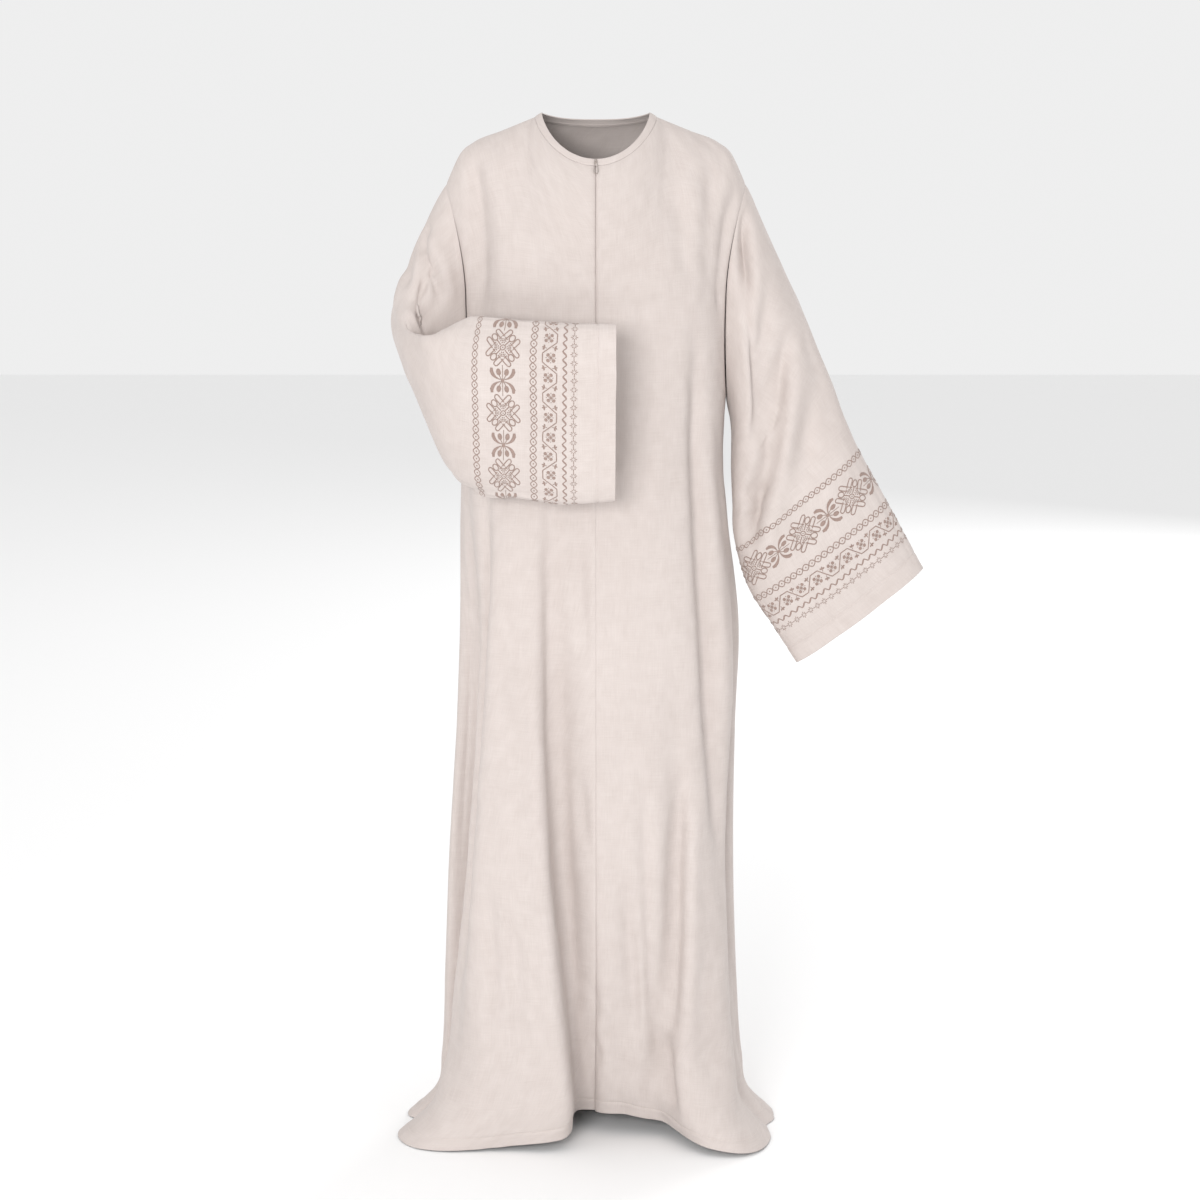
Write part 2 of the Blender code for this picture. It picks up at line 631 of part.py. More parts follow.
def add_slider(frame, cutters, group):
    """The zip's slider: a small rounded base with a bridge that holds the pull."""
    bpy.ops.mesh.primitive_cube_add(size=1.0)
    base = bpy.context.object
    base.name = "zip_slider"
    base.data.transform(Matrix.Diagonal((SLIDER_WIDTH, SLIDER_LENGTH, SLIDER_BASE, 1.0)))
    base.data.materials.append(material(METAL))
    base.matrix_world = frame @ Matrix.Translation((0, 0, SLIDER_STANDOFF + SLIDER_BASE / 2))
    for owner in list(base.users_collection):
        owner.objects.unlink(base)
    group.objects.link(base)
    rounding = base.modifiers.new("rounding", "BEVEL")
    rounding.width = SLIDER_ROUNDING
    rounding.segments = 2
    inner = BRIDGE_WINDOW_LENGTH / 2
    outer = inner + BRIDGE_WALL
    roof = BRIDGE_WINDOW_HEIGHT + BRIDGE_WALL
    staple = [
        (-outer, -BRIDGE_FOOT),
        (-inner, -BRIDGE_FOOT),
        (-inner, BRIDGE_WINDOW_HEIGHT),
        (inner, BRIDGE_WINDOW_HEIGHT),
        (inner, -BRIDGE_FOOT),
        (outer, -BRIDGE_FOOT),
        (outer, roof),
        (-outer, roof),
    ]
    bridge = add_plate("slider_bridge", [staple], BRIDGE_WIDTH, cutters)
    upright = Matrix(((0, 0, 1, 0), (1, 0, 0, 0), (0, 1, 0, 0), (0, 0, 0, 1)))
    bridge.matrix_world = frame @ Matrix.Translation((0, 0, SLIDER_STANDOFF + SLIDER_BASE)) @ upright
    bridge.hide_render = True
    bridge.display_type = "WIRE"
    join = base.modifiers.new("bridge", "BOOLEAN")
    join.operation = "UNION"
    join.object = bridge
    return base


def add_pull(frame, group):
    """The teardrop pull: its top bar lies under the slider's bridge, on the hinge's axis."""
    outline = teardrop(PULL_LENGTH, PULL_TOP_WIDTH, PULL_WIDTH, PULL_RAIL / 2)
    hole = teardrop(
        PULL_LENGTH - 2 * PULL_RAIL,
        PULL_TOP_WIDTH - 2 * PULL_RAIL,
        PULL_WIDTH - 2 * PULL_RAIL,
        -PULL_RAIL / 2,
    )
    pull = add_plate("zip_pull", [outline, hole], PULL_THICKNESS, group)
    pull.matrix_world = pull_axis_place(frame) @ Matrix.Rotation(PULL_TILT, 4, "X")
    return pull


def main():
    """Build the whole robe."""
    clear_scene()
    group = bpy.data.collections.new("long_robe")
    cutters = bpy.data.collections.new("long_robe_cutters")
    bpy.context.scene.collection.children.link(group)
    bpy.context.scene.collection.children.link(cutters)
    pieces = cloth_pieces()
    for piece, normals in zip(pieces, shared_normals(pieces)):
        add_wall(piece, normals, group)
    frame = zip_frame()
    add_slider(frame, cutters, group)
    add_pull(frame, group)


main()
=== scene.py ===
"""The dressed model of a long robe with wide sleeves: cloth, seams, embroidery and zip.

The robe faces -Y, its wearer's left is +X and Z points up, all in metres. Girth is measured by a
turn number: 0 at centre front, 1 at the wearer's left side seam, 2 at centre back and 3 (the
same as -1) at the right side seam. A crease or fold sinks in, and a negative one stands out.
"""

import logging
import math
from dataclasses import dataclass
from enum import Enum
from typing import NamedTuple, Optional, Sequence

import bpy
import numpy as np
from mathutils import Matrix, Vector


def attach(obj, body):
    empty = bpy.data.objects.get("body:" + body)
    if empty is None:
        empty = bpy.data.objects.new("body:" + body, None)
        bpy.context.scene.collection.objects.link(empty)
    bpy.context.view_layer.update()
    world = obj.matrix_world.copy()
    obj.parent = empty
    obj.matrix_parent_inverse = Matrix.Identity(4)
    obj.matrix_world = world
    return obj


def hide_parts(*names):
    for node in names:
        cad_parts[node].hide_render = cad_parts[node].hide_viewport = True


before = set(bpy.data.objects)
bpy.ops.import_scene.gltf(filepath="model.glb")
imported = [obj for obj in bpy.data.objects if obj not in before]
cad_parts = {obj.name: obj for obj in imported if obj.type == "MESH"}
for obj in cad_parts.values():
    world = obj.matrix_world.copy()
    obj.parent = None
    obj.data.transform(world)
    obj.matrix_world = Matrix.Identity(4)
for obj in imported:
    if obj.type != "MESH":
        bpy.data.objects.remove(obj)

LOG = logging.getLogger("long_robe")
GARMENT = "garment"

# Heights of the chest line, the underarm and the hem, and the girth of a flat sleeve.
CHEST = -0.250
UNDERARM = -0.385
FLOOR = -1.446
SLEEVE_GIRTH = 0.540

# Shares of a crease's length over which it fades out at each end.
PANEL_FADE = 0.34
SLEEVE_FADE = 0.35

# Longest and shortest wave of the cloth's unevenness, and its sideways reach round a sleeve.
LONG_WAVE = 0.110
SHORT_WAVE = 0.025
ROUND_REACH = 0.080

# A hem's double cloth, and the depth and width of its stitched groove.
HEM_LIFT = 0.0004
GROOVE_DEPTH = 0.0007
GROOVE_WIDTH = 0.0018


class Edge(Enum):
    """Edges of a cloth piece's grid."""

    TOP = "top"
    BOTTOM = "bottom"
    FIRST = "first"
    LAST = "last"


class Half(Enum):
    """The two halves of the body's cloth."""

    FRONT = "front"
    BACK = "back"


class Side(Enum):
    """The wearer's left and right, as the sign of X."""

    LEFT = 1
    RIGHT = -1


def unit(vectors: np.ndarray) -> np.ndarray:
    """Vectors of length one."""
    return vectors / np.maximum(np.linalg.norm(vectors, axis=-1, keepdims=True), 1e-12)


def soft_step(value: np.ndarray) -> np.ndarray:
    """Smooth rise from 0 to 1: three times the square less twice the cube."""
    value = np.clip(value, 0.0, 1.0)
    return value * value * (3.0 - 2.0 * value)


def bell(away: np.ndarray, wide: np.ndarray | float) -> np.ndarray:
    """Bell curve: e to minus half the square of the distance over the width."""
    return np.exp(-0.5 * (away / wide) ** 2)


def turn_gap(turn: np.ndarray, centre: np.ndarray | float) -> np.ndarray:
    """Signed way from one turn number to another, the short way round the body."""
    return (turn - centre + 2) % 4 - 2


def angle_gap(degrees: np.ndarray | float, centre: float) -> np.ndarray | float:
    """Signed way from one angle to another in degrees, the short way round."""
    return (degrees - centre + 180) % 360 - 180


def curve(knots: Sequence[float], values: np.ndarray, at: np.ndarray) -> np.ndarray:
    """Smooth values through the rows of a table.

    Between two rows the value is the cubic that keeps both rows' values and mean slopes.

    Args:
        knots: rising places of the rows.
        values: one value, or one array of values, for each row.
        at: places to work out.

    Returns:
        One value, or one array of values, for each place.
    """
    knots = np.asarray(knots, float)
    values = np.asarray(values, float)
    slopes = np.gradient(values, knots, axis=0)
    at = np.clip(np.asarray(at, float), knots[0], knots[-1])
    low = np.clip(np.searchsorted(knots, at, side="right") - 1, 0, len(knots) - 2)
    span = knots[low + 1] - knots[low]
    step = (at - knots[low]) / span
    extra = (1,) * (values.ndim - 1)
    span = span.reshape(span.shape + extra)
    step = step.reshape(step.shape + extra)
    start = (1 + 2 * step) * (1 - step) ** 2 * values[low]
    leave = step * (1 - step) ** 2 * span * slopes[low]
    end = step**2 * (3 - 2 * step) * values[low + 1]
    arrive = step**2 * (step - 1) * span * slopes[low + 1]
    return start + leave + end + arrive


def from_table(rows: Sequence[tuple], key: str, column: str, at: np.ndarray) -> np.ndarray:
    """One column of a table, smooth over its key column.

    Args:
        rows: the table's rows, in any order.
        key: name of the column with the places.
        column: name of the column with the values.
        at: places to work out.

    Returns:
        One value for each place.
    """
    rows = sorted(rows, key=lambda row: getattr(row, key))
    return curve([getattr(row, key) for row in rows], [getattr(row, column) for row in rows], at)


def grid_normals(grid: np.ndarray, closed: bool) -> np.ndarray:
    """Outward normals of a grid: its downward steps crossed with its steps round the body.

    Args:
        grid: points by row and column.
        closed: whether the last column meets the first.

    Returns:
        Unit normals in the grid's shape.
    """
    down = np.gradient(grid, axis=0)
    if closed:
        across = (np.roll(grid, -1, axis=1) - np.roll(grid, 1, axis=1)) / 2
    else:
        across = np.gradient(grid, axis=1)
    return unit(np.cross(down, across))


def run_lengths(points: np.ndarray, axis: int) -> np.ndarray:
    """Distance run along one axis of a grid, from its first point."""
    steps = np.linalg.norm(np.diff(points, axis=axis), axis=-1)
    lengths = np.cumsum(steps, axis=axis)
    pad = [(0, 0)] * lengths.ndim
    pad[axis] = (1, 0)
    return np.pad(lengths, pad)


def sampled(at: np.ndarray, run: np.ndarray, values: np.ndarray) -> np.ndarray:
    """Points or directions of a line at some lengths along it, each axis on its own."""
    return np.stack([np.interp(at, run, values[:, axis]) for axis in range(3)], axis=-1)


def crowded(places: np.ndarray, extra: Sequence[float] = (0.22, 0.5)) -> np.ndarray:
    """Rising places with a few more in the first and the last space, where cloth turns in."""
    more = np.asarray(extra)
    first = places[0] + (places[1] - places[0]) * more
    last = places[-1] - (places[-1] - places[-2]) * more
    return np.sort(np.concatenate([places, first, last]))


class Section(NamedTuple):
    """A level section of the body: its height and its reach each way."""

    name: str
    height: float
    right: float
    left: float
    front: float
    back: float


class Fold(NamedTuple):
    """A fold of the skirt: where it begins, how it wanders and how deep and wide it gets."""

    name: str
    start: float
    t_start: float
    t_mid: float
    t_hem: float
    deep_mid: float
    deep_hem: float
    wide_mid: float
    wide_hem: float
    lean: float


class SeamPoint(NamedTuple):
    """A point of the shoulder seam."""

    share: float
    out: float
    drop: float


class Yoke(NamedTuple):
    """How the cloth leaves the top edge and reaches chest height."""

    share: float
    out: float
    ahead: float
    fall: float
    rise: float


class Ring(NamedTuple):
    """A sleeve ring: distance from the cuff, outer edge, inner edge and half depth in front."""

    from_cuff: float
    out_x: float
    out_y: float
    out_z: float
    in_x: float
    in_y: float
    in_z: float
    ahead_x: float
    ahead_y: float
    ahead_z: float


class PanelCrease(NamedTuple):
    """A crease of the front or back, drawn as it is seen: through three places in X and Z."""

    name: str
    x_start: float
    z_start: float
    x_mid: float
    z_mid: float
    x_end: float
    z_end: float
    deep: float
    wide: float


class SleeveCrease(NamedTuple):
    """A crease of a sleeve, from one distance from the cuff and angle to another."""

    name: str
    from_start: float
    angle_start: float
    from_end: float
    angle_end: float
    deep: float
    wide: float


SECTIONS = (
    Section("chest", -0.250, 0.187, 0.187, 0.126, 0.108),
    Section("underarm", -0.385, 0.184, 0.181, 0.134, 0.104),
    Section("waist", -0.480, 0.188, 0.177, 0.138, 0.104),
    Section("below_waist", -0.560, 0.191, 0.185, 0.140, 0.106),
    Section("hip", -0.700, 0.193, 0.202, 0.142, 0.112),
    Section("thigh", -0.850, 0.199, 0.199, 0.143, 0.120),
    Section("knee", -1.050, 0.212, 0.198, 0.145, 0.130),
    Section("calf", -1.230, 0.220, 0.204, 0.146, 0.140),
    Section("shin", -1.350, 0.226, 0.213, 0.145, 0.148),
    Section("flare", -1.405, 0.236, 0.223, 0.144, 0.156),
    Section("hem", -1.446, 0.276, 0.260, 0.138, 0.174),
)
FOLDS = (
    Fold("main_valley", -0.40, -0.160, -0.120, -0.036, 0.026, 0.060, 0.054, 0.045, -0.40),
    Fold("left_lobe", -0.50, -0.42, -0.400, -0.520, -0.010, -0.028, 0.130, 0.150, 0.0),
    Fold("lobe_edge", -0.80, -0.24, -0.220, -0.130, -0.004, -0.008, 0.050, 0.060, -2.20),
    Fold("centre_recess", -0.80, 0.10, 0.110, 0.110, 0.016, 0.068, 0.130, 0.115, 0.0),
    Fold("second_valley", -0.72, 0.36, 0.345, 0.250, 0.012, 0.030, 0.045, 0.042, 0.30),
    Fold("left_corner", -1.24, 0.50, 0.50, 0.48, -0.004, -0.058, 0.120, 0.140, 0.0),
    Fold("right_corner", -1.24, -0.66, -0.66, -0.66, -0.004, -0.026, 0.120, 0.140, 0.0),
    Fold("left_side_crease", -0.40, 0.74, 0.86, 0.80, 0.018, 0.010, 0.050, 0.060, 0.0),
    Fold("right_side_crease", -0.44, -0.74, -0.84, -0.90, 0.024, 0.026, 0.055, 0.050, 0.0),
    Fold("back_left_fold", -0.46, 1.36, 1.34, 1.36, 0.014, 0.042, 0.080, 0.095, 0.0),
    Fold("back_centre_fold", -0.40, 1.86, 1.88, 1.80, 0.018, 0.052, 0.085, 0.100, 0.20),
    Fold("back_right_fold", -0.52, 2.34, 2.30, 2.36, 0.016, 0.046, 0.075, 0.090, -0.20),
    Fold("back_side_fold", -0.60, 2.70, 2.68, 2.70, 0.008, 0.026, 0.060, 0.080, 0.0),
)
SHOULDER_SEAM = (
    SeamPoint(0.00, 0.084, 0.000),
    SeamPoint(0.38, 0.131, -0.019),
    SeamPoint(0.68, 0.168, -0.034),
    SeamPoint(0.84, 0.187, -0.050),
    SeamPoint(1.00, 0.207, -0.092),
)
YOKES = {
    Half.FRONT: (
        Yoke(0.00, 0.000, 0.022, 0.034, 0.090),
        Yoke(0.20, 0.018, 0.024, 0.028, 0.090),
        Yoke(0.33, 0.027, 0.025, 0.024, 0.095),
        Yoke(0.42, 0.026, 0.035, 0.021, 0.100),
        Yoke(0.54, 0.018, 0.047, 0.018, 0.105),
        Yoke(0.70, 0.007, 0.053, 0.018, 0.105),
        Yoke(0.88, 0.003, 0.048, 0.016, 0.085),
        Yoke(1.00, -0.002, 0.038, 0.010, 0.075),
    ),
    Half.BACK: (
        Yoke(0.00, 0.000, 0.022, 0.026, 0.110),
        Yoke(0.20, 0.016, 0.024, 0.022, 0.110),
        Yoke(0.33, 0.025, 0.024, 0.020, 0.110),
        Yoke(0.42, 0.024, 0.034, 0.018, 0.110),
        Yoke(0.54, 0.016, 0.045, 0.018, 0.110),
        Yoke(0.70, 0.007, 0.050, 0.018, 0.105),
        Yoke(0.88, 0.003, 0.045, 0.016, 0.085),
        Yoke(1.00, -0.002, 0.036, 0.010, 0.075),
    ),
}
HANGING_RINGS = (
    Ring(0.500, 0.239, 0.004, -0.162, 0.1890, -0.006, -0.428, 0.0, -0.066, 0.0),
    Ring(0.400, 0.284, 0.002, -0.260, 0.1890, -0.012, -0.484, 0.0, -0.060, 0.0),
    Ring(0.300, 0.325, -0.002, -0.356, 0.1915, -0.018, -0.538, 0.0, -0.054, 0.0),
    Ring(0.200, 0.364, -0.008, -0.452, 0.1960, -0.024, -0.590, 0.0, -0.047, 0.0),
    Ring(0.130, 0.397, -0.013, -0.512, 0.2130, -0.027, -0.648, 0.0, -0.042, 0.0),
    Ring(0.065, 0.429, -0.018, -0.570, 0.2470, -0.030, -0.704, 0.0, -0.038, 0.0),
    Ring(0.000, 0.459, -0.022, -0.626, 0.2830, -0.033, -0.758, 0.0, -0.034, 0.0),
)
BENT_RINGS = (
    Ring(0.500, -0.242, 0.012, -0.160, -0.209, -0.008, -0.390, -0.002, -0.070, 0.014),
    Ring(0.440, -0.266, 0.018, -0.222, -0.211, -0.036, -0.372, -0.004, -0.074, 0.026),
    Ring(0.385, -0.283, 0.014, -0.288, -0.207, -0.076, -0.336, -0.010, -0.064, 0.040),
    Ring(0.325, -0.261, -0.022, -0.352, -0.197, -0.112, -0.296, -0.022, -0.060, 0.036),
    Ring(0.275, -0.224, -0.068, -0.418, -0.183, -0.140, -0.270, -0.026, -0.054, 0.014),
    Ring(0.235, -0.196, -0.108, -0.478, -0.171, -0.158, -0.259, -0.018, -0.044, 0.000),
    Ring(0.197, -0.160, -0.144, -0.499, -0.158, -0.170, -0.257, -0.010, -0.036, 0.0),
    Ring(0.130, -0.103, -0.174, -0.502, -0.100, -0.190, -0.260, -0.004, -0.032, 0.0),
    Ring(0.065, -0.040, -0.198, -0.506, -0.038, -0.210, -0.262, -0.002, -0.031, 0.0),
    Ring(0.000, 0.026, -0.214, -0.498, 0.027, -0.228, -0.262, 0.0, -0.031, 0.0),
)
HANGING_CREASES = (
    SleeveCrease("under_shoulder", 0.520, 70, 0.340, 96, 0.012, 0.022),
    SleeveCrease("long_diagonal", 0.330, 50, 0.110, 118, 0.010, 0.026),
    SleeveCrease("back_diagonal", 0.470, 285, 0.160, 235, 0.013, 0.030),
)
BENT_CREASES = (
    SleeveCrease("arm_front", 0.520, 62, 0.420, 88, 0.010, 0.022),
    SleeveCrease("crook", 0.345, 172, 0.372, 56, 0.010, 0.030),
    SleeveCrease("elbow_back", 0.430, 300, 0.260, 250, 0.014, 0.030),
)
HANGING_WRINKLES = (
    SleeveCrease("armhole_drag", 0.560, 82, 0.430, 104, 0.005, 0.009),
    SleeveCrease("armhole_ridge", 0.555, 100, 0.380, 122, -0.004, 0.010),
    SleeveCrease("second_diagonal", 0.400, 66, 0.200, 128, 0.005, 0.012),
    SleeveCrease("diagonal_ridge", 0.350, 78, 0.140, 138, -0.004, 0.014),
    SleeveCrease("elbow_inner", 0.330, 150, 0.240, 118, 0.004, 0.009),
    SleeveCrease("elbow_lower", 0.270, 160, 0.205, 120, 0.003, 0.008),
    SleeveCrease("outer_soft", 0.420, 22, 0.180, 44, 0.003, 0.016),
    SleeveCrease("cuff_flute", 0.140, 74, -0.050, 66, 0.003, 0.012),
    SleeveCrease("cuff_flute_inner", 0.120, 122, -0.060, 112, 0.003, 0.012),
    SleeveCrease("back_flute", 0.360, 268, -0.060, 252, 0.006, 0.016),
    SleeveCrease("back_drag", 0.560, 262, 0.400, 238, 0.005, 0.011),
    SleeveCrease("back_outer", 0.400, 320, 0.120, 302, 0.004, 0.014),
)
BENT_WRINKLES = (
    SleeveCrease("armhole_drag", 0.570, 60, 0.440, 74, 0.005, 0.008),
    SleeveCrease("armhole_drag_low", 0.560, 84, 0.420, 100, 0.005, 0.009),
    SleeveCrease("outer_notch", 0.475, 12, 0.435, 52, 0.006, 0.009),
    SleeveCrease("notch_ridge", 0.450, 8, 0.400, 50, -0.004, 0.009),
    SleeveCrease("elbow_pull", 0.400, 20, 0.330, 84, 0.004, 0.010),
    SleeveCrease("crook_second", 0.300, 176, 0.330, 80, 0.004, 0.010),
    SleeveCrease("lower_swag", 0.330, 60, 0.200, 128, 0.005, 0.018),
    SleeveCrease("forearm_soft", 0.260, 84, 0.060, 92, 0.003, 0.018),
    SleeveCrease("forearm_lower", 0.230, 128, 0.030, 136, -0.004, 0.020),
    SleeveCrease("top_pucker", 0.270, 350, 0.215, 30, 0.003, 0.008),
    SleeveCrease("top_pucker_near", 0.225, 348, 0.180, 26, 0.003, 0.007),
    SleeveCrease("cuff_flute", 0.090, 120, -0.050, 112, 0.003, 0.010),
    SleeveCrease("elbow_back_low", 0.380, 250, 0.250, 214, 0.006, 0.014),
    SleeveCrease("arm_back", 0.560, 285, 0.430, 262, 0.005, 0.012),
)
FRONT_CREASES = (
    PanelCrease("right_arm_hollow", -0.167, -0.039, -0.164, -0.146, -0.162, -0.330, 0.0120, 0.0090),
    PanelCrease("right_arm_soft", -0.146, -0.073, -0.149, -0.159, -0.152, -0.300, 0.0060, 0.0110),
    PanelCrease("right_chest_soft", -0.121, -0.050, -0.120, -0.106, -0.118, -0.173, 0.0045, 0.0100),
    PanelCrease("left_chest_hollow", 0.117, -0.086, 0.119, -0.153, 0.130, -0.253, 0.0075, 0.0130),
    PanelCrease("left_chest_side", 0.161, -0.039, 0.156, -0.139, 0.157, -0.280, 0.0070, 0.0100),
    PanelCrease("left_arm_drag", 0.187, -0.086, 0.181, -0.173, 0.171, -0.308, 0.0080, 0.0075),
    PanelCrease("left_long_crease", 0.136, -0.240, 0.151, -0.640, 0.190, -1.180, 0.0190, 0.0085),
    PanelCrease("left_long_ridge", 0.157, -0.373, 0.172, -0.648, 0.196, -0.974, -0.0050, 0.0090),
    PanelCrease("right_long_crease", -0.147, -0.440, -0.173, -0.860, -0.215, -1.400, 0.0170, 0.0060),
    PanelCrease("right_side_sink", -0.168, -0.480, -0.194, -0.874, -0.231, -1.380, 0.0150, 0.0150),
    PanelCrease("right_long_ridge", -0.132, -0.523, -0.155, -0.888, -0.191, -1.332, -0.0040, 0.0120),
    PanelCrease("main_valley_line", -0.060, -0.380, -0.057, -0.860, -0.024, -1.330, 0.0130, 0.0100),
    PanelCrease("main_ridge", -0.086, -0.600, -0.080, -0.974, -0.049, -1.355, -0.0070, 0.0120),
    PanelCrease("inner_soft", -0.027, -0.537, -0.023, -0.634, -0.012, -0.761, 0.0060, 0.0085),
    PanelCrease("inner_wrinkle", -0.025, -0.888, -0.019, -0.953, -0.012, -1.025, 0.0055, 0.0065),
    PanelCrease("centre_trough", 0.042, -1.032, 0.049, -1.177, 0.061, -1.332, 0.0080, 0.0075),
    PanelCrease("centre_trough_next", 0.067, -0.874, 0.074, -1.104, 0.085, -1.340, 0.0080, 0.0085),
    PanelCrease("second_valley_line", 0.118, -0.860, 0.113, -1.090, 0.099, -1.360, 0.0150, 0.0085),
    PanelCrease("second_ridge", 0.137, -0.917, 0.134, -1.134, 0.130, -1.385, -0.0060, 0.0100),
    PanelCrease("lobe_soft_outer", -0.153, -1.032, -0.144, -1.177, -0.131, -1.347, 0.0075, 0.0095),
    PanelCrease("lobe_soft_inner", -0.118, -1.061, -0.114, -1.207, -0.105, -1.355, 0.0065, 0.0085),
    PanelCrease("lobe_step", 0.092, -1.266, 0.099, -1.347, 0.111, -1.422, 0.0140, 0.0070),
    PanelCrease("hem_wrinkle_high", -0.014, -1.199, -0.003, -1.236, -0.011, -1.273, 0.0030, 0.0055),
    PanelCrease("hem_wrinkle", 0.006, -1.236, 0.014, -1.273, 0.007, -1.310, 0.0028, 0.0060),
    PanelCrease("hem_wrinkle_low", -0.011, -1.288, 0.000, -1.318, -0.006, -1.347, 0.0030, 0.0055),
    PanelCrease("left_corner_crease", 0.202, -1.163, 0.215, -1.310, 0.238, -1.422, 0.0070, 0.0110),
    PanelCrease("left_corner_ridge", 0.177, -1.148, 0.184, -1.310, 0.202, -1.437, -0.0050, 0.0130),
    PanelCrease("right_corner_crease", -0.186, -1.200, -0.198, -1.330, -0.214, -1.440, 0.0050, 0.0140),
)
HANGING_FRONT_CREASES = (
    PanelCrease("seam_fold", 0.194, -0.099, 0.201, -0.171, 0.206, -0.257, 0.0160, 0.0060),
    PanelCrease("seam_fold_ridge", 0.209, -0.110, 0.218, -0.191, 0.223, -0.287, -0.0030, 0.0090),
    PanelCrease("long_diagonal", 0.275, -0.270, 0.246, -0.384, 0.236, -0.510, 0.0150, 0.0090),
    PanelCrease("diagonal_low", 0.241, -0.426, 0.230, -0.510, 0.216, -0.594, 0.0130, 0.0100),
    PanelCrease("diagonal_ridge", 0.289, -0.315, 0.267, -0.412, 0.261, -0.517, -0.0040, 0.0110),
    PanelCrease("outer_soft", 0.311, -0.345, 0.293, -0.426, 0.291, -0.496, 0.0040, 0.0085),
    PanelCrease("inner_soft", 0.214, -0.287, 0.221, -0.383, 0.223, -0.467, 0.0090, 0.0100),
    PanelCrease("under_fold", 0.221, -0.470, 0.216, -0.537, 0.212, -0.607, 0.0160, 0.0110),
)
BENT_FRONT_CREASES = (
    PanelCrease("arm_fold", -0.202, -0.080, -0.184, -0.145, -0.176, -0.260, 0.0120, 0.0055),
    PanelCrease("arm_fold_outer", -0.206, -0.095, -0.191, -0.143, -0.189, -0.205, 0.0100, 0.0050),
    PanelCrease("outer_notch", -0.248, -0.160, -0.229, -0.203, -0.202, -0.260, 0.0100, 0.0060),
    PanelCrease("notch_hollow", -0.228, -0.140, -0.240, -0.160, -0.246, -0.186, 0.0080, 0.0065),
    PanelCrease("notch_ridge", -0.234, -0.147, -0.210, -0.199, -0.187, -0.256, -0.0050, 0.0080),
    PanelCrease("elbow_soft", -0.263, -0.246, -0.241, -0.270, -0.214, -0.287, -0.0050, 0.0110),
    PanelCrease("forearm_top", -0.192, -0.251, -0.152, -0.269, -0.100, -0.269, 0.0030, 0.0100),
    PanelCrease("forearm_low", -0.167, -0.455, -0.127, -0.415, -0.047, -0.402, 0.0030, 0.0150),
    PanelCrease("forearm_left", -0.232, -0.335, -0.206, -0.388, -0.167, -0.435, 0.0040, 0.0150),
)
BACK_CREASES = (
    PanelCrease("nape_left", 0.050, -0.020, 0.062, -0.120, 0.070, -0.240, 0.0030, 0.014),
    PanelCrease("nape_right", -0.046, -0.020, -0.060, -0.110, -0.066, -0.260, 0.0030, 0.014),
    PanelCrease("left_blade", 0.128, -0.070, 0.136, -0.200, 0.140, -0.380, 0.0090, 0.011),
    PanelCrease("right_blade", -0.132, -0.070, -0.138, -0.210, -0.146, -0.370, 0.0090, 0.011),
    PanelCrease("blade_ridge_left", 0.108, -0.090, 0.110, -0.260, 0.112, -0.480, -0.0040, 0.014),
    PanelCrease("blade_ridge_right", -0.110, -0.090, -0.116, -0.240, -0.116, -0.470, -0.0040, 0.014),
    PanelCrease("centre_long", -0.010, -0.300, 0.004, -0.620, 0.012, -1.100, 0.0090, 0.012),
    PanelCrease("left_long", 0.088, -0.420, 0.092, -0.800, 0.104, -1.260, 0.0110, 0.011),
    PanelCrease("left_outer", 0.150, -0.420, 0.160, -0.820, 0.182, -1.300, 0.0100, 0.010),
    PanelCrease("right_long", -0.080, -0.440, -0.088, -0.780, -0.092, -1.240, 0.0105, 0.012),
    PanelCrease("right_outer", -0.146, -0.400, -0.158, -0.800, -0.186, -1.320, 0.0120, 0.010),
    PanelCrease("seat_drag", -0.060, -0.520, 0.000, -0.545, 0.064, -0.522, 0.0015, 0.018),
    PanelCrease("hem_left", 0.050, -1.160, 0.054, -1.300, 0.060, -1.430, 0.0100, 0.011),
    PanelCrease("hem_right", -0.130, -1.180, -0.136, -1.310, -0.150, -1.430, 0.0100, 0.012),
    PanelCrease("hem_ridge", 0.110, -1.180, 0.116, -1.310, 0.124, -1.430, -0.0080, 0.015),
)


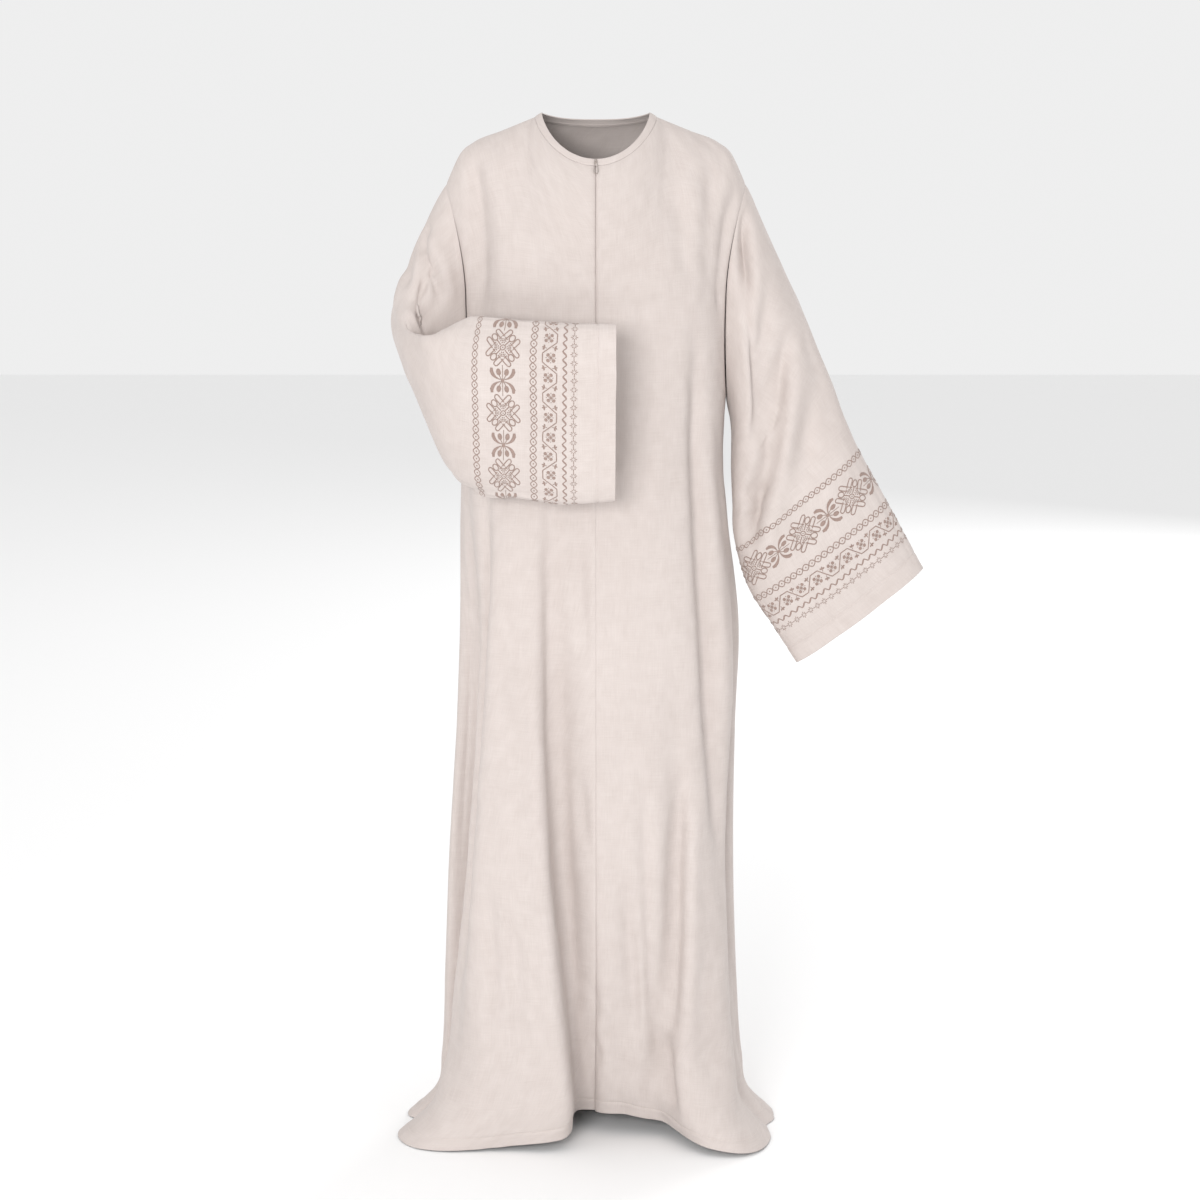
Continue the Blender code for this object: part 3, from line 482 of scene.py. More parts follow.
@dataclass(frozen=True)
class BodyForm:
    """The filled-out form of the body's cloth, from its cut.

    A level section is a rounded oval: its radius is (|sin|^p + |cos|^p)^(-1/p) times its reach
    each way, with p the roundness, and its folds are bell curves over the turn number.
    """

    roundness: float = 2.35
    neck_half_width: float = 0.084
    neck_front: float = 0.083
    neck_back: float = 0.054
    neck_front_drop: float = 0.062
    neck_back_drop: float = 0.014
    neck_round: float = 1.5
    neck_share: float = 0.40
    armhole_turn: float = 0.76
    hem_lift: float = 0.030
    hem_lift_turn: float = 0.07
    hem_lift_width: float = 0.20

    def reach(self, column: str, height: np.ndarray) -> np.ndarray:
        """One column of the section table, smooth over height."""
        return from_table(SECTIONS, "height", column, height)

    def fold_at(self, fold: Fold, turn: np.ndarray, height: np.ndarray) -> np.ndarray:
        """Depth of a fold: its depth at that height times a bell over the turn number.

        Args:
            fold: the fold's row.
            turn: turn numbers.
            height: heights.

        Returns:
            Depths in metres.
        """
        knots = [FLOOR, 0.5 * (fold.start + FLOOR), fold.start]
        deep = curve(knots, [fold.deep_hem, fold.deep_mid, 0.0], height)
        deep = np.where(height > fold.start, 0.0, deep)
        wide = curve(knots, [fold.wide_hem, fold.wide_mid, fold.wide_mid], height)
        centre = curve(knots, [fold.t_hem, fold.t_mid, fold.t_start], height)
        return deep * bell(turn_gap(turn, centre), wide)

    def section_point(self, turn: np.ndarray, height: np.ndarray) -> np.ndarray:
        """Points of the level sections, with the folds pushed into them.

        Args:
            turn: turn numbers.
            height: heights.

        Returns:
            Points, with the hem's lift in front added.
        """
        turn, height = np.broadcast_arrays(np.asarray(turn, float), np.asarray(height, float))
        side = np.sin(turn * math.pi / 2)
        ahead = np.cos(turn * math.pi / 2)
        power = self.roundness
        radius = (np.abs(side) ** power + np.abs(ahead) ** power) ** (-1 / power)
        reach = np.where(side < 0, self.reach("right", height), self.reach("left", height))
        depth = np.where(ahead > 0, self.reach("front", height), self.reach("back", height))
        out_x = side / reach
        out_y = -ahead / depth
        size = np.hypot(out_x, out_y)
        push = np.zeros_like(turn)
        drag = np.zeros_like(turn)
        for fold in FOLDS:
            sink = self.fold_at(fold, turn, height)
            push = push - sink
            drag = drag + fold.lean * sink
        x = reach * radius * side + (out_x * push - out_y * drag) / size
        y = -depth * radius * ahead + (out_y * push + out_x * drag) / size
        share = np.clip((CHEST - height) / (CHEST - FLOOR), 0, 1)
        lift = self.hem_lift * bell(turn_gap(turn, self.hem_lift_turn), self.hem_lift_width)
        return np.stack([x, y, height + lift * share**4], axis=-1)

    def armhole(self, height: np.ndarray) -> np.ndarray:
        """Turn number of the armhole's edge: a quarter ellipse from chest to underarm."""
        share = np.clip((CHEST - height) / (CHEST - UNDERARM), 0, 1)
        return 1 - (1 - self.armhole_turn) * np.sqrt(1 - share**2)

    def top_edge(self, share: np.ndarray, half: Half, side: Side) -> np.ndarray:
        """Neckline and shoulder seam on one side: an oval quarter, then the seam's table.

        Args:
            share: share of the top edge, from the centre to the shoulder tip.
            half: front or back.
            side: left or right.

        Returns:
            Points of the edge.
        """
        front = half is Half.FRONT
        neck = np.clip(share / self.neck_share, 0, 1) * math.pi / 2
        reach = -self.neck_front if front else self.neck_back
        sink = self.neck_front_drop if front else self.neck_back_drop
        line_x = side.value * self.neck_half_width * np.sin(neck)
        line_z = -sink * np.abs(np.cos(neck)) ** self.neck_round
        neckline = np.stack([line_x, reach * np.cos(neck), line_z], axis=-1)
        along = np.clip((share - self.neck_share) / (1 - self.neck_share), 0, 1)
        out = side.value * from_table(SHOULDER_SEAM, "share", "out", along)
        drop = from_table(SHOULDER_SEAM, "share", "drop", along)
        seam = np.stack([out, np.zeros_like(out), drop], axis=-1)
        return np.where((share < self.neck_share)[..., None], neckline, seam)

    def yoke_point(
        self, share: np.ndarray, step: np.ndarray, half: Half, side: Side
    ) -> np.ndarray:
        """Cloth from the top edge to chest height: a cubic Bezier over the shoulder.

        Args:
            share: share of the top edge.
            step: 0 at the top edge, 1 at chest height.
            half: front or back.
            side: left or right.

        Returns:
            Points of the cloth.
        """
        names = ("out", "ahead", "fall", "rise")
        out, ahead, fall, rise = (from_table(YOKES[half], "share", name, share) for name in names)
        front = half is Half.FRONT
        forward = -1 if front else 1
        top = self.top_edge(share, half, side)
        turn = share * self.armhole_turn
        turn = turn if front else 2 - turn
        chest = self.section_point(side.value * turn, np.full_like(turn, CHEST))
        leave = top + np.stack([side.value * out, forward * ahead, -fall], axis=-1)
        still = np.zeros_like(rise)
        arrive = chest + np.stack([still, still, rise], axis=-1)
        step = step[..., None]
        return (
            (1 - step) ** 3 * top
            + 3 * step * (1 - step) ** 2 * leave
            + 3 * step**2 * (1 - step) * arrive
            + step**3 * chest
        )


@dataclass(frozen=True)
class GridPlan:
    """How finely the body's cloth is gridded, and how it is evened out below the shoulders."""

    neck_columns: int = 36
    shoulder_columns: int = 66
    yoke_rows: int = 56
    armhole_rows: int = 28
    skirt_rows: int = 190
    hem_depth: float = 0.021
    even_passes: int = 70
    even_width: float = 0.11
    even_top: float = 0.16
    even_bottom: float = 0.10

    def shares(self) -> np.ndarray:
        """Columns of half a panel, closer together at its two edges."""
        neck = np.linspace(0, BODY.neck_share, self.neck_columns + 1)
        shoulder = np.linspace(BODY.neck_share, 1, self.shoulder_columns + 1)[1:]
        return crowded(np.concatenate([neck, shoulder]))

    def yoke_steps(self) -> np.ndarray:
        """Rows from the top edge to chest height."""
        steps = np.linspace(0, 1, self.yoke_rows + 1)
        first = steps[1] * np.array([0.25, 0.55])
        return np.sort(np.concatenate([steps, first]))

    def levels(self) -> np.ndarray:
        """Heights of the rows below chest height, closer together at the hem's stitch line."""
        quarter = np.linspace(0, math.pi / 2, self.armhole_rows + 1)[1:]
        armhole = CHEST + (UNDERARM - CHEST) * np.sin(quarter)
        step = np.linspace(0, 1, self.skirt_rows + 1)[1:]
        eased = 1.22 * step - 0.22 * step**3
        skirt = UNDERARM + (FLOOR - UNDERARM) * eased
        line = FLOOR + self.hem_depth + np.array([-0.0035, -0.0015, 0.0002, 0.0016, 0.0036])
        edge = FLOOR + np.array([0.0008, 0.002])
        below = np.sort(np.concatenate([skirt, line, edge]))[::-1]
        return np.concatenate([armhole, below])

    def armhole_count(self) -> int:
        """Number of rows from the shoulder tip to the underarm."""
        return len(self.yoke_steps()) + self.armhole_rows


BODY = BodyForm()
PLAN = GridPlan()


def half_panel(half: Half, side: Side) -> np.ndarray:
    """Grid of half a front or half a back: yoke rows, then level sections to the hem.

    Below the corner where neckline and shoulder seam meet, the cloth is evened out: its points
    move to the repeated mean of their neighbours in the row.

    Args:
        half: front or back.
        side: left or right.

    Returns:
        Points, rows downward and columns from the centre outward.
    """
    share = PLAN.shares()
    step = PLAN.yoke_steps()
    upper = BODY.yoke_point(*np.broadcast_arrays(share[None, :], step[:, None]), half, side)
    even = upper.copy()
    for _ in range(PLAN.even_passes):
        even[:, 1:-1] = 0.25 * even[:, :-2] + 0.5 * even[:, 1:-1] + 0.25 * even[:, 2:]
    beside = np.exp(-(((share - BODY.neck_share) / PLAN.even_width) ** 2))
    blend = soft_step(step / PLAN.even_top)[:, None] * beside[None, :]
    blend = blend * soft_step((1 - step) / PLAN.even_bottom)[:, None]
    upper = upper + (even - upper) * blend[..., None]
    height = PLAN.levels()[:, None]
    turn = share[None, :] * BODY.armhole(height)
    turn = turn if half is Half.FRONT else 2 - turn
    lower = BODY.section_point(side.value * turn, height)
    return np.concatenate([upper, lower], axis=0)


def armhole_edge(half: Half, side: Side) -> np.ndarray:
    """A panel's armhole edge, from the shoulder tip down to the underarm."""
    return half_panel(half, side)[: PLAN.armhole_count(), -1]


def neckline() -> np.ndarray:
    """The neckline from centre front by the wearer's left and the back to centre front."""
    share = PLAN.shares()
    neck = share[share <= BODY.neck_share + 1e-9]
    quarters = (
        BODY.top_edge(neck, Half.FRONT, Side.LEFT),
        BODY.top_edge(neck, Half.BACK, Side.LEFT)[::-1],
        BODY.top_edge(neck, Half.BACK, Side.RIGHT),
        BODY.top_edge(neck, Half.FRONT, Side.RIGHT)[::-1],
    )
    return np.concatenate([quarters[0]] + [quarter[1:] for quarter in quarters[1:]])


def panel_press(grid: np.ndarray, creases: Sequence[PanelCrease]) -> np.ndarray:
    """Depth of all creases of a panel.

    A crease is a parabola through its three places in X and Z, taken as short straight pieces.
    Its depth falls off as a bell with the distance from it and fades out along its last third
    at each end.

    Args:
        grid: the panel's points.
        creases: the creases' rows.

    Returns:
        Depths in metres in the grid's shape.
    """
    flat = grid[..., (0, 2)].reshape(-1, 1, 2)
    total = np.zeros(flat.shape[0])
    step = np.linspace(0, 1, 17)
    weights = np.stack([(1 - step) * (1 - 2 * step), 4 * step * (1 - step), step * (2 * step - 1)])
    for crease in creases:
        xs = (crease.x_start, crease.x_mid, crease.x_end)
        zs = (crease.z_start, crease.z_mid, crease.z_end)
        path = np.stack([xs @ weights, zs @ weights], axis=-1)
        reach = 4 * crease.wide
        near = (flat[:, 0, 1] > min(zs) - reach) & (flat[:, 0, 1] < max(zs) + reach)
        near &= (flat[:, 0, 0] > min(xs) - reach) & (flat[:, 0, 0] < max(xs) + reach)
        span = np.diff(path, axis=0)[None]
        away = flat[near] - path[None, :-1]
        share = np.clip((away * span).sum(axis=-1) / (span**2).sum(axis=-1), 0, 1)
        gaps = np.linalg.norm(away - share[..., None] * span, axis=-1)
        place = gaps.argmin(axis=1)
        pick = np.arange(len(place)), place
        along = (place + share[pick]) / (len(step) - 1)
        ends = soft_step(np.minimum(along, 1 - along) / PANEL_FADE)
        total[near] += crease.deep * ends * bell(gaps[pick], crease.wide)
    return total.reshape(grid.shape[:2])


def sleeve_press(
    creases: Sequence[SleeveCrease], from_cuff: np.ndarray, degrees: np.ndarray
) -> np.ndarray:
    """Depth of a sleeve's creases: troughs along straight lines over the flat sleeve.

    Args:
        creases: the creases' rows.
        from_cuff: distance from the cuff, a column.
        degrees: angle round the ring, a row.

    Returns:
        Depths in metres.
    """
    degree = SLEEVE_GIRTH / 360
    total = np.zeros(np.broadcast_shapes(from_cuff.shape, degrees.shape))
    for crease in creases:
        run = crease.from_end - crease.from_start
        turn = angle_gap(crease.angle_end, crease.angle_start) * degree
        length = math.hypot(run, turn)
        ahead = from_cuff - crease.from_start
        aside = angle_gap(degrees, crease.angle_start) * degree
        along = (ahead * run + aside * turn) / length**2
        across = (ahead * turn - aside * run) / length
        ends = soft_step(np.minimum(along, 1 - along) / SLEEVE_FADE)
        total = total + crease.deep * ends * bell(across, crease.wide)
    return total


def cloth_ripple(run: np.ndarray, fall: np.ndarray, seed: int, height: float) -> np.ndarray:
    """Small unevenness of cloth: a sum of slanted sine waves of 25 to 110 mm.

    Args:
        run: distance across, in metres.
        fall: distance down, in metres.
        seed: number that fixes the waves.
        height: typical height in metres.

    Returns:
        Depths in metres.
    """
    dice = np.random.default_rng(seed)
    total = np.zeros_like(run)
    for wave in np.geomspace(LONG_WAVE, SHORT_WAVE, 12):
        lean = dice.normal(0.0, 0.40)
        phase = dice.uniform(0, 2 * math.pi, 2)
        across = 2 * math.pi * run * math.cos(lean) / wave
        down = 2 * math.pi * fall * math.sin(lean) / wave
        swell = 0.5 + 0.5 * np.sin(2 * math.pi * (0.6 * run + fall) / (4.1 * wave) + phase[1])
        total = total + wave * swell * np.sin(across + down + phase[0])
    return height * total / LONG_WAVE


def edge_distance(grid: np.ndarray, edge: Edge) -> np.ndarray:
    """Distance of each point from one edge of its grid, along its row or column."""
    if edge in (Edge.TOP, Edge.BOTTOM):
        run = run_lengths(grid, 0)
        return run if edge is Edge.TOP else run[-1:] - run
    run = run_lengths(grid, 1)
    return run if edge is Edge.FIRST else run[:, -1:] - run


def turned_edge(distance: np.ndarray, deep: float, wide: float) -> np.ndarray:
    """Depth of cloth that turns in at an edge: a bell of the distance from it."""
    return deep * np.exp(-((distance / wide) ** 2))


def hem_press(distance: np.ndarray, depth: float) -> np.ndarray:
    """Depth of a hem: its double cloth stands out a little below a stitched groove.

    Args:
        distance: distance from the free edge.
        depth: height of the hem.

    Returns:
        Depths in metres.
    """
    double = -HEM_LIFT * soft_step((depth - distance) / 0.002)
    return double + turned_edge(distance - depth, GROOVE_DEPTH, GROOVE_WIDTH)


@dataclass(frozen=True)
class Linen:
    """Matt plain-weave cloth with slubs, on the piece's own flat coordinates in metres."""

    name: str = "linen_cloth"
    light: tuple[float, float, float] = (0.610, 0.550, 0.523)
    shade: tuple[float, float, float] = (0.495, 0.433, 0.405)
    thread_pitch: float = 0.0009
    roughness: float = 0.86
    sheen: float = 0.12

    def build(self) -> bpy.types.Material:
        """Weave as the product of two sines, slubs as stretched noise, crumples as soft noise."""
        made, nodes = new_material(self.name)
        flat = nodes.coordinates("UV")
        place = nodes.coordinates("Object")
        parts = nodes.add("ShaderNodeSeparateXYZ", Vector=flat).outputs
        beat = math.pi / self.thread_pitch
        warp = nodes.math("SINE", nodes.math("MULTIPLY", parts["X"], beat))
        weft = nodes.math("SINE", nodes.math("MULTIPLY", parts["Y"], beat))
        weave = nodes.math("MULTIPLY", warp, weft)
        slub_down = nodes.noise(nodes.stretched(flat, (820.0, 34.0, 1.0)), 1.0, 3.0)
        slub_across = nodes.noise(nodes.stretched(flat, (30.0, 900.0, 1.0)), 1.0, 3.0)
        mottle = nodes.noise(nodes.stretched(flat, (60.0, 42.0, 1.0)), 1.0, 4.0)
        cloudy = nodes.noise(place, 6.0, 3.0)
        slubs = nodes.math("ADD", slub_down, slub_across)
        tone = nodes.math("MULTIPLY_ADD", slubs, 0.36, nodes.math("MULTIPLY", mottle, 0.34))
        tone = nodes.math("MULTIPLY_ADD", cloudy, 0.25, tone)
        tone = nodes.math("MULTIPLY_ADD", weave, 0.05, tone)
        ramp = nodes.ranged(tone, "From", 0.42, 0.92)
        fine = nodes.bump(weave, 0.16, 0.0003)
        rough = nodes.bump(slubs, 0.40, 0.0004, fine)
        crumple = nodes.noise(place, 34.0, 4.0)
        nodes.finish(
            {
                "Base Color": nodes.mix(ramp, self.shade, self.light),
                "Normal": nodes.bump(crumple, 0.25, 0.0016, rough),
                "Roughness": self.roughness,
                "Sheen Weight": self.sheen,
                "Sheen Roughness": 0.45,
                "Specular IOR Level": 0.25,
            }
        )
        return made


@dataclass(frozen=True)
class Thread:
    """Embroidery or sewing thread that lies across its stroke, on the stroke's own coordinates."""

    name: str
    light: tuple[float, float, float]
    shade: tuple[float, float, float]
    strand_pitch: float = 0.00042
    roughness: float = 0.55
    sheen: float = 0.30

    def build(self) -> bpy.types.Material:
        """Strands as a sine along the stroke, their colour uneven by noise."""
        made, nodes = new_material(self.name)
        parts = nodes.add("ShaderNodeSeparateXYZ", Vector=nodes.coordinates("UV")).outputs
        beat = 2 * math.pi / self.strand_pitch
        strands = nodes.math("SINE", nodes.math("MULTIPLY", parts["X"], beat))
        uneven = nodes.noise(nodes.coordinates("Object"), 420.0, 2.0)
        tone = nodes.math("MULTIPLY_ADD", strands, 0.22, uneven)
        nodes.finish(
            {
                "Base Color": nodes.mix(tone, self.shade, self.light),
                "Normal": nodes.bump(strands, 0.5, 0.00012),
                "Roughness": self.roughness,
                "Sheen Weight": self.sheen,
            }
        )
        return made


@dataclass(frozen=True)
class TonedMetal:
    """Satin metal of the zip, toned towards the cloth and a little uneven."""

    name: str = "toned_zip_metal"
    light: tuple[float, float, float] = (0.560, 0.500, 0.460)
    shade: tuple[float, float, float] = (0.400, 0.350, 0.320)
    metallic: float = 0.85

    def build(self) -> bpy.types.Material:
        """Two tones mixed by noise, with a fine bump and uneven roughness."""
        made, nodes = new_material(self.name)
        worn = nodes.noise(nodes.coordinates("Object"), 900.0, 3.0)
        nodes.finish(
            {
                "Base Color": nodes.mix(worn, self.shade, self.light),
                "Normal": nodes.bump(worn, 0.2, 0.00005),
                "Roughness": nodes.ranged(worn, "To", 0.28, 0.46),
                "Metallic": self.metallic,
            }
        )
        return made


@dataclass(frozen=True)
class PaleFloor:
    """Plain pale studio floor."""

    name: str = "pale_floor"
    colour: tuple[float, float, float] = (0.92, 0.92, 0.92)

    def build(self) -> bpy.types.Material:
        """One pale colour with a barely visible noise in its roughness."""
        made, nodes = new_material(self.name)
        haze = nodes.noise(nodes.coordinates("Object"), 3.0, 2.0)
        nodes.finish(
            {
                "Base Color": (*self.colour, 1.0),
                "Roughness": nodes.ranged(haze, "To", 0.78, 0.88),
                "Specular IOR Level": 0.1,
            }
        )
        return made


class NodeKit:
    """Short calls for building a material's nodes."""

    def __init__(self, tree: bpy.types.NodeTree) -> None:
        """Keeps the tree and its Principled shader."""
        self.tree = tree
        self.shader = tree.nodes["Principled BSDF"]

    def link(self, source: bpy.types.NodeSocket, target: bpy.types.NodeSocket) -> None:
        """Joins an output to an input."""
        self.tree.links.new(source, target)

    def add(self, kind: str, **inputs: object) -> bpy.types.Node:
        """A node with some of its inputs linked or set by name."""
        node = self.tree.nodes.new(kind)
        for name, value in inputs.items():
            self.feed(node.inputs[name], value)
        return node

    def feed(self, socket: bpy.types.NodeSocket, value: object) -> None:
        """Links an output to an input, or sets the input's value."""
        if isinstance(value, bpy.types.NodeSocket):
            self.link(value, socket)
        else:
            socket.default_value = value

    def finish(self, inputs: dict[str, object]) -> None:
        """Links or sets the shader's inputs by name."""
        for name, value in inputs.items():
            self.feed(self.shader.inputs[name], value)

    def coordinates(self, kind: str) -> bpy.types.NodeSocket:
        """The piece's own coordinates: "Object", or "UV" for the flat ones."""
        return self.add("ShaderNodeTexCoord").outputs[kind]

    def ranged(
        self, value: bpy.types.NodeSocket, end: str, low: float, high: float
    ) -> bpy.types.NodeSocket:
        """A value moved from or to a range, as end says, with 0 to 1 at the other end."""
        limits = {end + " Min": low, end + " Max": high}
        return self.add("ShaderNodeMapRange", Value=value, **limits).outputs["Result"]

    def math(self, operation: str, *values: object) -> bpy.types.NodeSocket:
        """Result of a Math node."""
        node = self.tree.nodes.new("ShaderNodeMath")
        node.operation = operation
        for socket, value in zip(node.inputs, values):
            self.feed(socket, value)
        return node.outputs[0]

    def stretched(
        self, source: bpy.types.NodeSocket, scale: tuple[float, float, float]
    ) -> bpy.types.NodeSocket:
        """Coordinates scaled each way."""
        node = self.add("ShaderNodeMapping", Vector=source)
        node.inputs["Scale"].default_value = scale
        return node.outputs["Vector"]

    def noise(
        self, source: bpy.types.NodeSocket, scale: float, detail: float
    ) -> bpy.types.NodeSocket:
        """Value of a Noise texture."""
        node = self.add("ShaderNodeTexNoise", Vector=source, Scale=scale, Detail=detail)
        return node.outputs["Fac"]

    def mix(
        self,
        factor: bpy.types.NodeSocket,
        low: tuple[float, float, float],
        high: tuple[float, float, float],
    ) -> bpy.types.NodeSocket:
        """Colour between two, by a factor."""
        node = self.tree.nodes.new("ShaderNodeMix")
        node.data_type = "RGBA"
        self.link(factor, node.inputs["Factor"])
        sockets = [socket for socket in node.inputs if socket.type == "RGBA"]
        sockets[0].default_value = (*low, 1.0)
        sockets[1].default_value = (*high, 1.0)
        return next(socket for socket in node.outputs if socket.type == "RGBA")

    def bump(
        self,
        height: bpy.types.NodeSocket,
        strength: float,
        distance: float,
        below: Optional[bpy.types.NodeSocket] = None,
    ) -> bpy.types.NodeSocket:
        """Normal of a Bump node, over another one's if there is one."""
        node = self.add("ShaderNodeBump", Height=height, Strength=strength, Distance=distance)
        if below is not None:
            self.link(below, node.inputs["Normal"])
        return node.outputs["Normal"]


def new_material(name: str) -> tuple[bpy.types.Material, NodeKit]:
    made = bpy.data.materials.new(name)
    made.use_nodes = True
    return made, NodeKit(made.node_tree)


LINEN = Linen()
EMBROIDERY_THREAD = Thread("embroidery_thread", (0.360, 0.256, 0.218), (0.235, 0.162, 0.136))
SEWING_THREAD = Thread("sewing_thread", (0.700, 0.620, 0.580), (0.520, 0.440, 0.400))
ZIP_TAPE = Thread("zip_tape", (0.600, 0.520, 0.480), (0.450, 0.380, 0.350), 0.0008, 0.8, 0.1)
METAL = TonedMetal()


def put_object(name: str, data: bpy.types.ID) -> bpy.types.Object:
    """An object with some data, linked to the scene."""
    item = bpy.data.objects.new(name, data)
    bpy.context.scene.collection.objects.link(item)
    return item


def put_mesh(
    name: str, points: np.ndarray, quads: np.ndarray, flat: np.ndarray, finish: bpy.types.Material
) -> bpy.types.Object:
    """An object from points and four-sided faces, with flat coordinates for each point.

    Args:
        name: the piece's name.
        points: points, any shape that ends in three.
        quads: corner numbers of the faces, outward.
        flat: flat coordinates of each point, in metres.
        finish: the material.

    Returns:
        The object, linked to the scene and smooth.
    """
    points = points.reshape(-1, 3)
    mesh = bpy.data.meshes.new(name)
    mesh.vertices.add(len(points))
    mesh.vertices.foreach_set("co", points.ravel())
    mesh.loops.add(quads.size)
    mesh.loops.foreach_set("vertex_index", quads.ravel())
    mesh.polygons.add(len(quads))
    mesh.polygons.foreach_set("loop_start", np.arange(len(quads)) * 4)
    mesh.polygons.foreach_set("loop_total", np.full(len(quads), 4))
    mesh.update(calc_edges=True)
    layer = mesh.uv_layers.new(name="flat")
    layer.data.foreach_set("uv", flat.reshape(-1, 2)[quads.ravel()].ravel())
    mesh.shade_smooth()
    mesh.materials.append(finish)
    return put_object(name, mesh)


def thicken(item: bpy.types.Object, wall: float) -> None:
    """Gives a one-sided piece its wall, inward from its outer surface."""
    shell = item.modifiers.new("thickness", "SOLIDIFY")
    shell.thickness = wall
    shell.offset = -1.0


def faces_between(before: np.ndarray, after: np.ndarray, ring: bool = False) -> np.ndarray:
    """Four-sided faces between rows of corners.

    Args:
        before: corner numbers of the rows that the faces start from, the last axis along a row.
        after: corner numbers of the rows that they reach, in the same shape.
        ring: whether each row closes on itself.

    Returns:
        Four corner numbers for each face.
    """
    if ring:
        before = np.concatenate([before, before[..., :1]], axis=-1)
        after = np.concatenate([after, after[..., :1]], axis=-1)
    sides = (before[..., :-1], after[..., :-1], after[..., 1:], before[..., 1:])
    return np.stack([side.ravel() for side in sides], axis=-1)


def grid_quads(rows: int, columns: int, closed: bool) -> np.ndarray:
    """Corner numbers of a grid's faces: down, then across."""
    corner = np.arange(rows * columns).reshape(rows, columns)
    return faces_between(corner[:-1], corner[1:], closed)


@dataclass
class ClothPiece:
    """One cut piece of cloth: a fine grid with its seams, hem and small creases.

    Its sewn edges turn in by a depth and a width. The edge named by met lies against its
    neighbour's, so creases run on over it.
    """

    name: str
    grid: np.ndarray
    closed: bool
    sewn: dict[Edge, tuple[float, float]]
    hem_depth: float = 0.0
    seed: int = 0
    met: Optional[Edge] = None
    wall: float = 0.0010
    ripple: float = 0.0005
    fade: float = 0.022

    def press(self, depth: np.ndarray) -> None:
        """Moves the points inward along their normals, less and less towards sewn edges."""
        share = np.ones(self.grid.shape[:2])
        for edge in self.sewn:
            if edge is not self.met:
                share = share * soft_step(edge_distance(self.grid, edge) / self.fade)
        self.grid = self.grid - (depth * share)[..., None] * grid_normals(self.grid, self.closed)

    def finish_edges(self) -> None:
        """Adds the cloth's unevenness, then forms the edges."""
        run = run_lengths(self.grid, 1)
        fall = run_lengths(self.grid, 0)
        if self.closed:
            angle = 2 * math.pi * np.arange(self.grid.shape[1]) / self.grid.shape[1]
            run = np.broadcast_to(ROUND_REACH * np.sin(angle)[None, :], fall.shape)
        self.press(cloth_ripple(run, fall, self.seed, self.ripple))
        self.turn_edges()

    def turn_edges(self) -> None:
        """Turns the sewn edges in and forms the hem."""
        depth = np.zeros(self.grid.shape[:2])
        for edge, (deep, wide) in self.sewn.items():
            depth = depth + turned_edge(edge_distance(self.grid, edge), deep, wide)
        if self.hem_depth:
            depth = depth + hem_press(edge_distance(self.grid, Edge.BOTTOM), self.hem_depth)
        self.grid = self.grid - depth[..., None] * grid_normals(self.grid, self.closed)

    def flat(self) -> np.ndarray:
        """Flat coordinates: distance run across each row and mean distance down."""
        run = run_lengths(self.grid, 1)
        fall = run_lengths(self.grid, 0).mean(axis=1, keepdims=True)
        return np.stack([run, np.broadcast_to(-fall, run.shape)], axis=-1)

    def area(self) -> float:
        """Area of the cloth: the sum of its faces' halves."""
        grid = np.concatenate([self.grid, self.grid[:, :1]], axis=1) if self.closed else self.grid
        one = np.cross(grid[1:, :-1] - grid[:-1, :-1], grid[1:, 1:] - grid[:-1, :-1])
        two = np.cross(grid[1:, 1:] - grid[:-1, :-1], grid[:-1, 1:] - grid[:-1, :-1])
        total = np.linalg.norm(one, axis=-1).sum() + np.linalg.norm(two, axis=-1).sum()
        return float(total) / 2

    def build(self, finish: bpy.types.Material) -> bpy.types.Object:
        """The piece as a thin shell inside its outer surface."""
        quads = grid_quads(*self.grid.shape[:2], self.closed)
        item = put_mesh(self.name + "_cloth", self.grid, quads, self.flat(), finish)
        thicken(item, self.wall)
        LOG.info("%s: %d faces, %.4f m2", item.name, len(quads), self.area())
        return item


class SleeveChart:
    """Lays flat sleeve coordinates on a finished sleeve.

    The place round the sleeve is measured by length along its rings, as a share of the girth,
    and the place along it by distance from the cuff. Between grid points all is bilinear.
    """

    def __init__(self, grid: np.ndarray, from_cuff: np.ndarray, low: float, high: float) -> None:
        """Measures the rings between two distances from the cuff."""
        self.grid = np.concatenate([grid, grid[:, :1]], axis=1)
        normals = grid_normals(grid, True)
        self.normals = np.concatenate([normals, normals[:, :1]], axis=1)
        self.from_cuff = from_cuff
        rings = run_lengths(self.grid, 1)[(from_cuff > low) & (from_cuff < high)]
        self.girth = float(rings[:, -1].mean())
        self.share = (rings / rings[:, -1:]).mean(axis=0)

    def lay(self, flat: np.ndarray) -> np.ndarray:
        """Points on the sleeve for (place round it, distance from cuff, lift), in metres."""
        share = (flat[..., 0] / self.girth) % 1.0
        column = np.interp(share, self.share, np.arange(len(self.share)))
        row = np.interp(-flat[..., 1], -self.from_cuff, np.arange(len(self.from_cuff)))
        left = np.clip(column.astype(int), 0, self.grid.shape[1] - 2)
        upper = np.clip(row.astype(int), 0, self.grid.shape[0] - 2)
        across = (column - left)[..., None]
        down = (row - upper)[..., None]

        def blend(values: np.ndarray) -> np.ndarray:
            """Mean of the four corners by their nearness."""
            top = values[upper, left] * (1 - across) + values[upper, left + 1] * across
            low = values[upper + 1, left] * (1 - across) + values[upper + 1, left + 1] * across
            return top * (1 - down) + low * down

        return blend(self.grid) + unit(blend(self.normals)) * flat[..., 2:3]


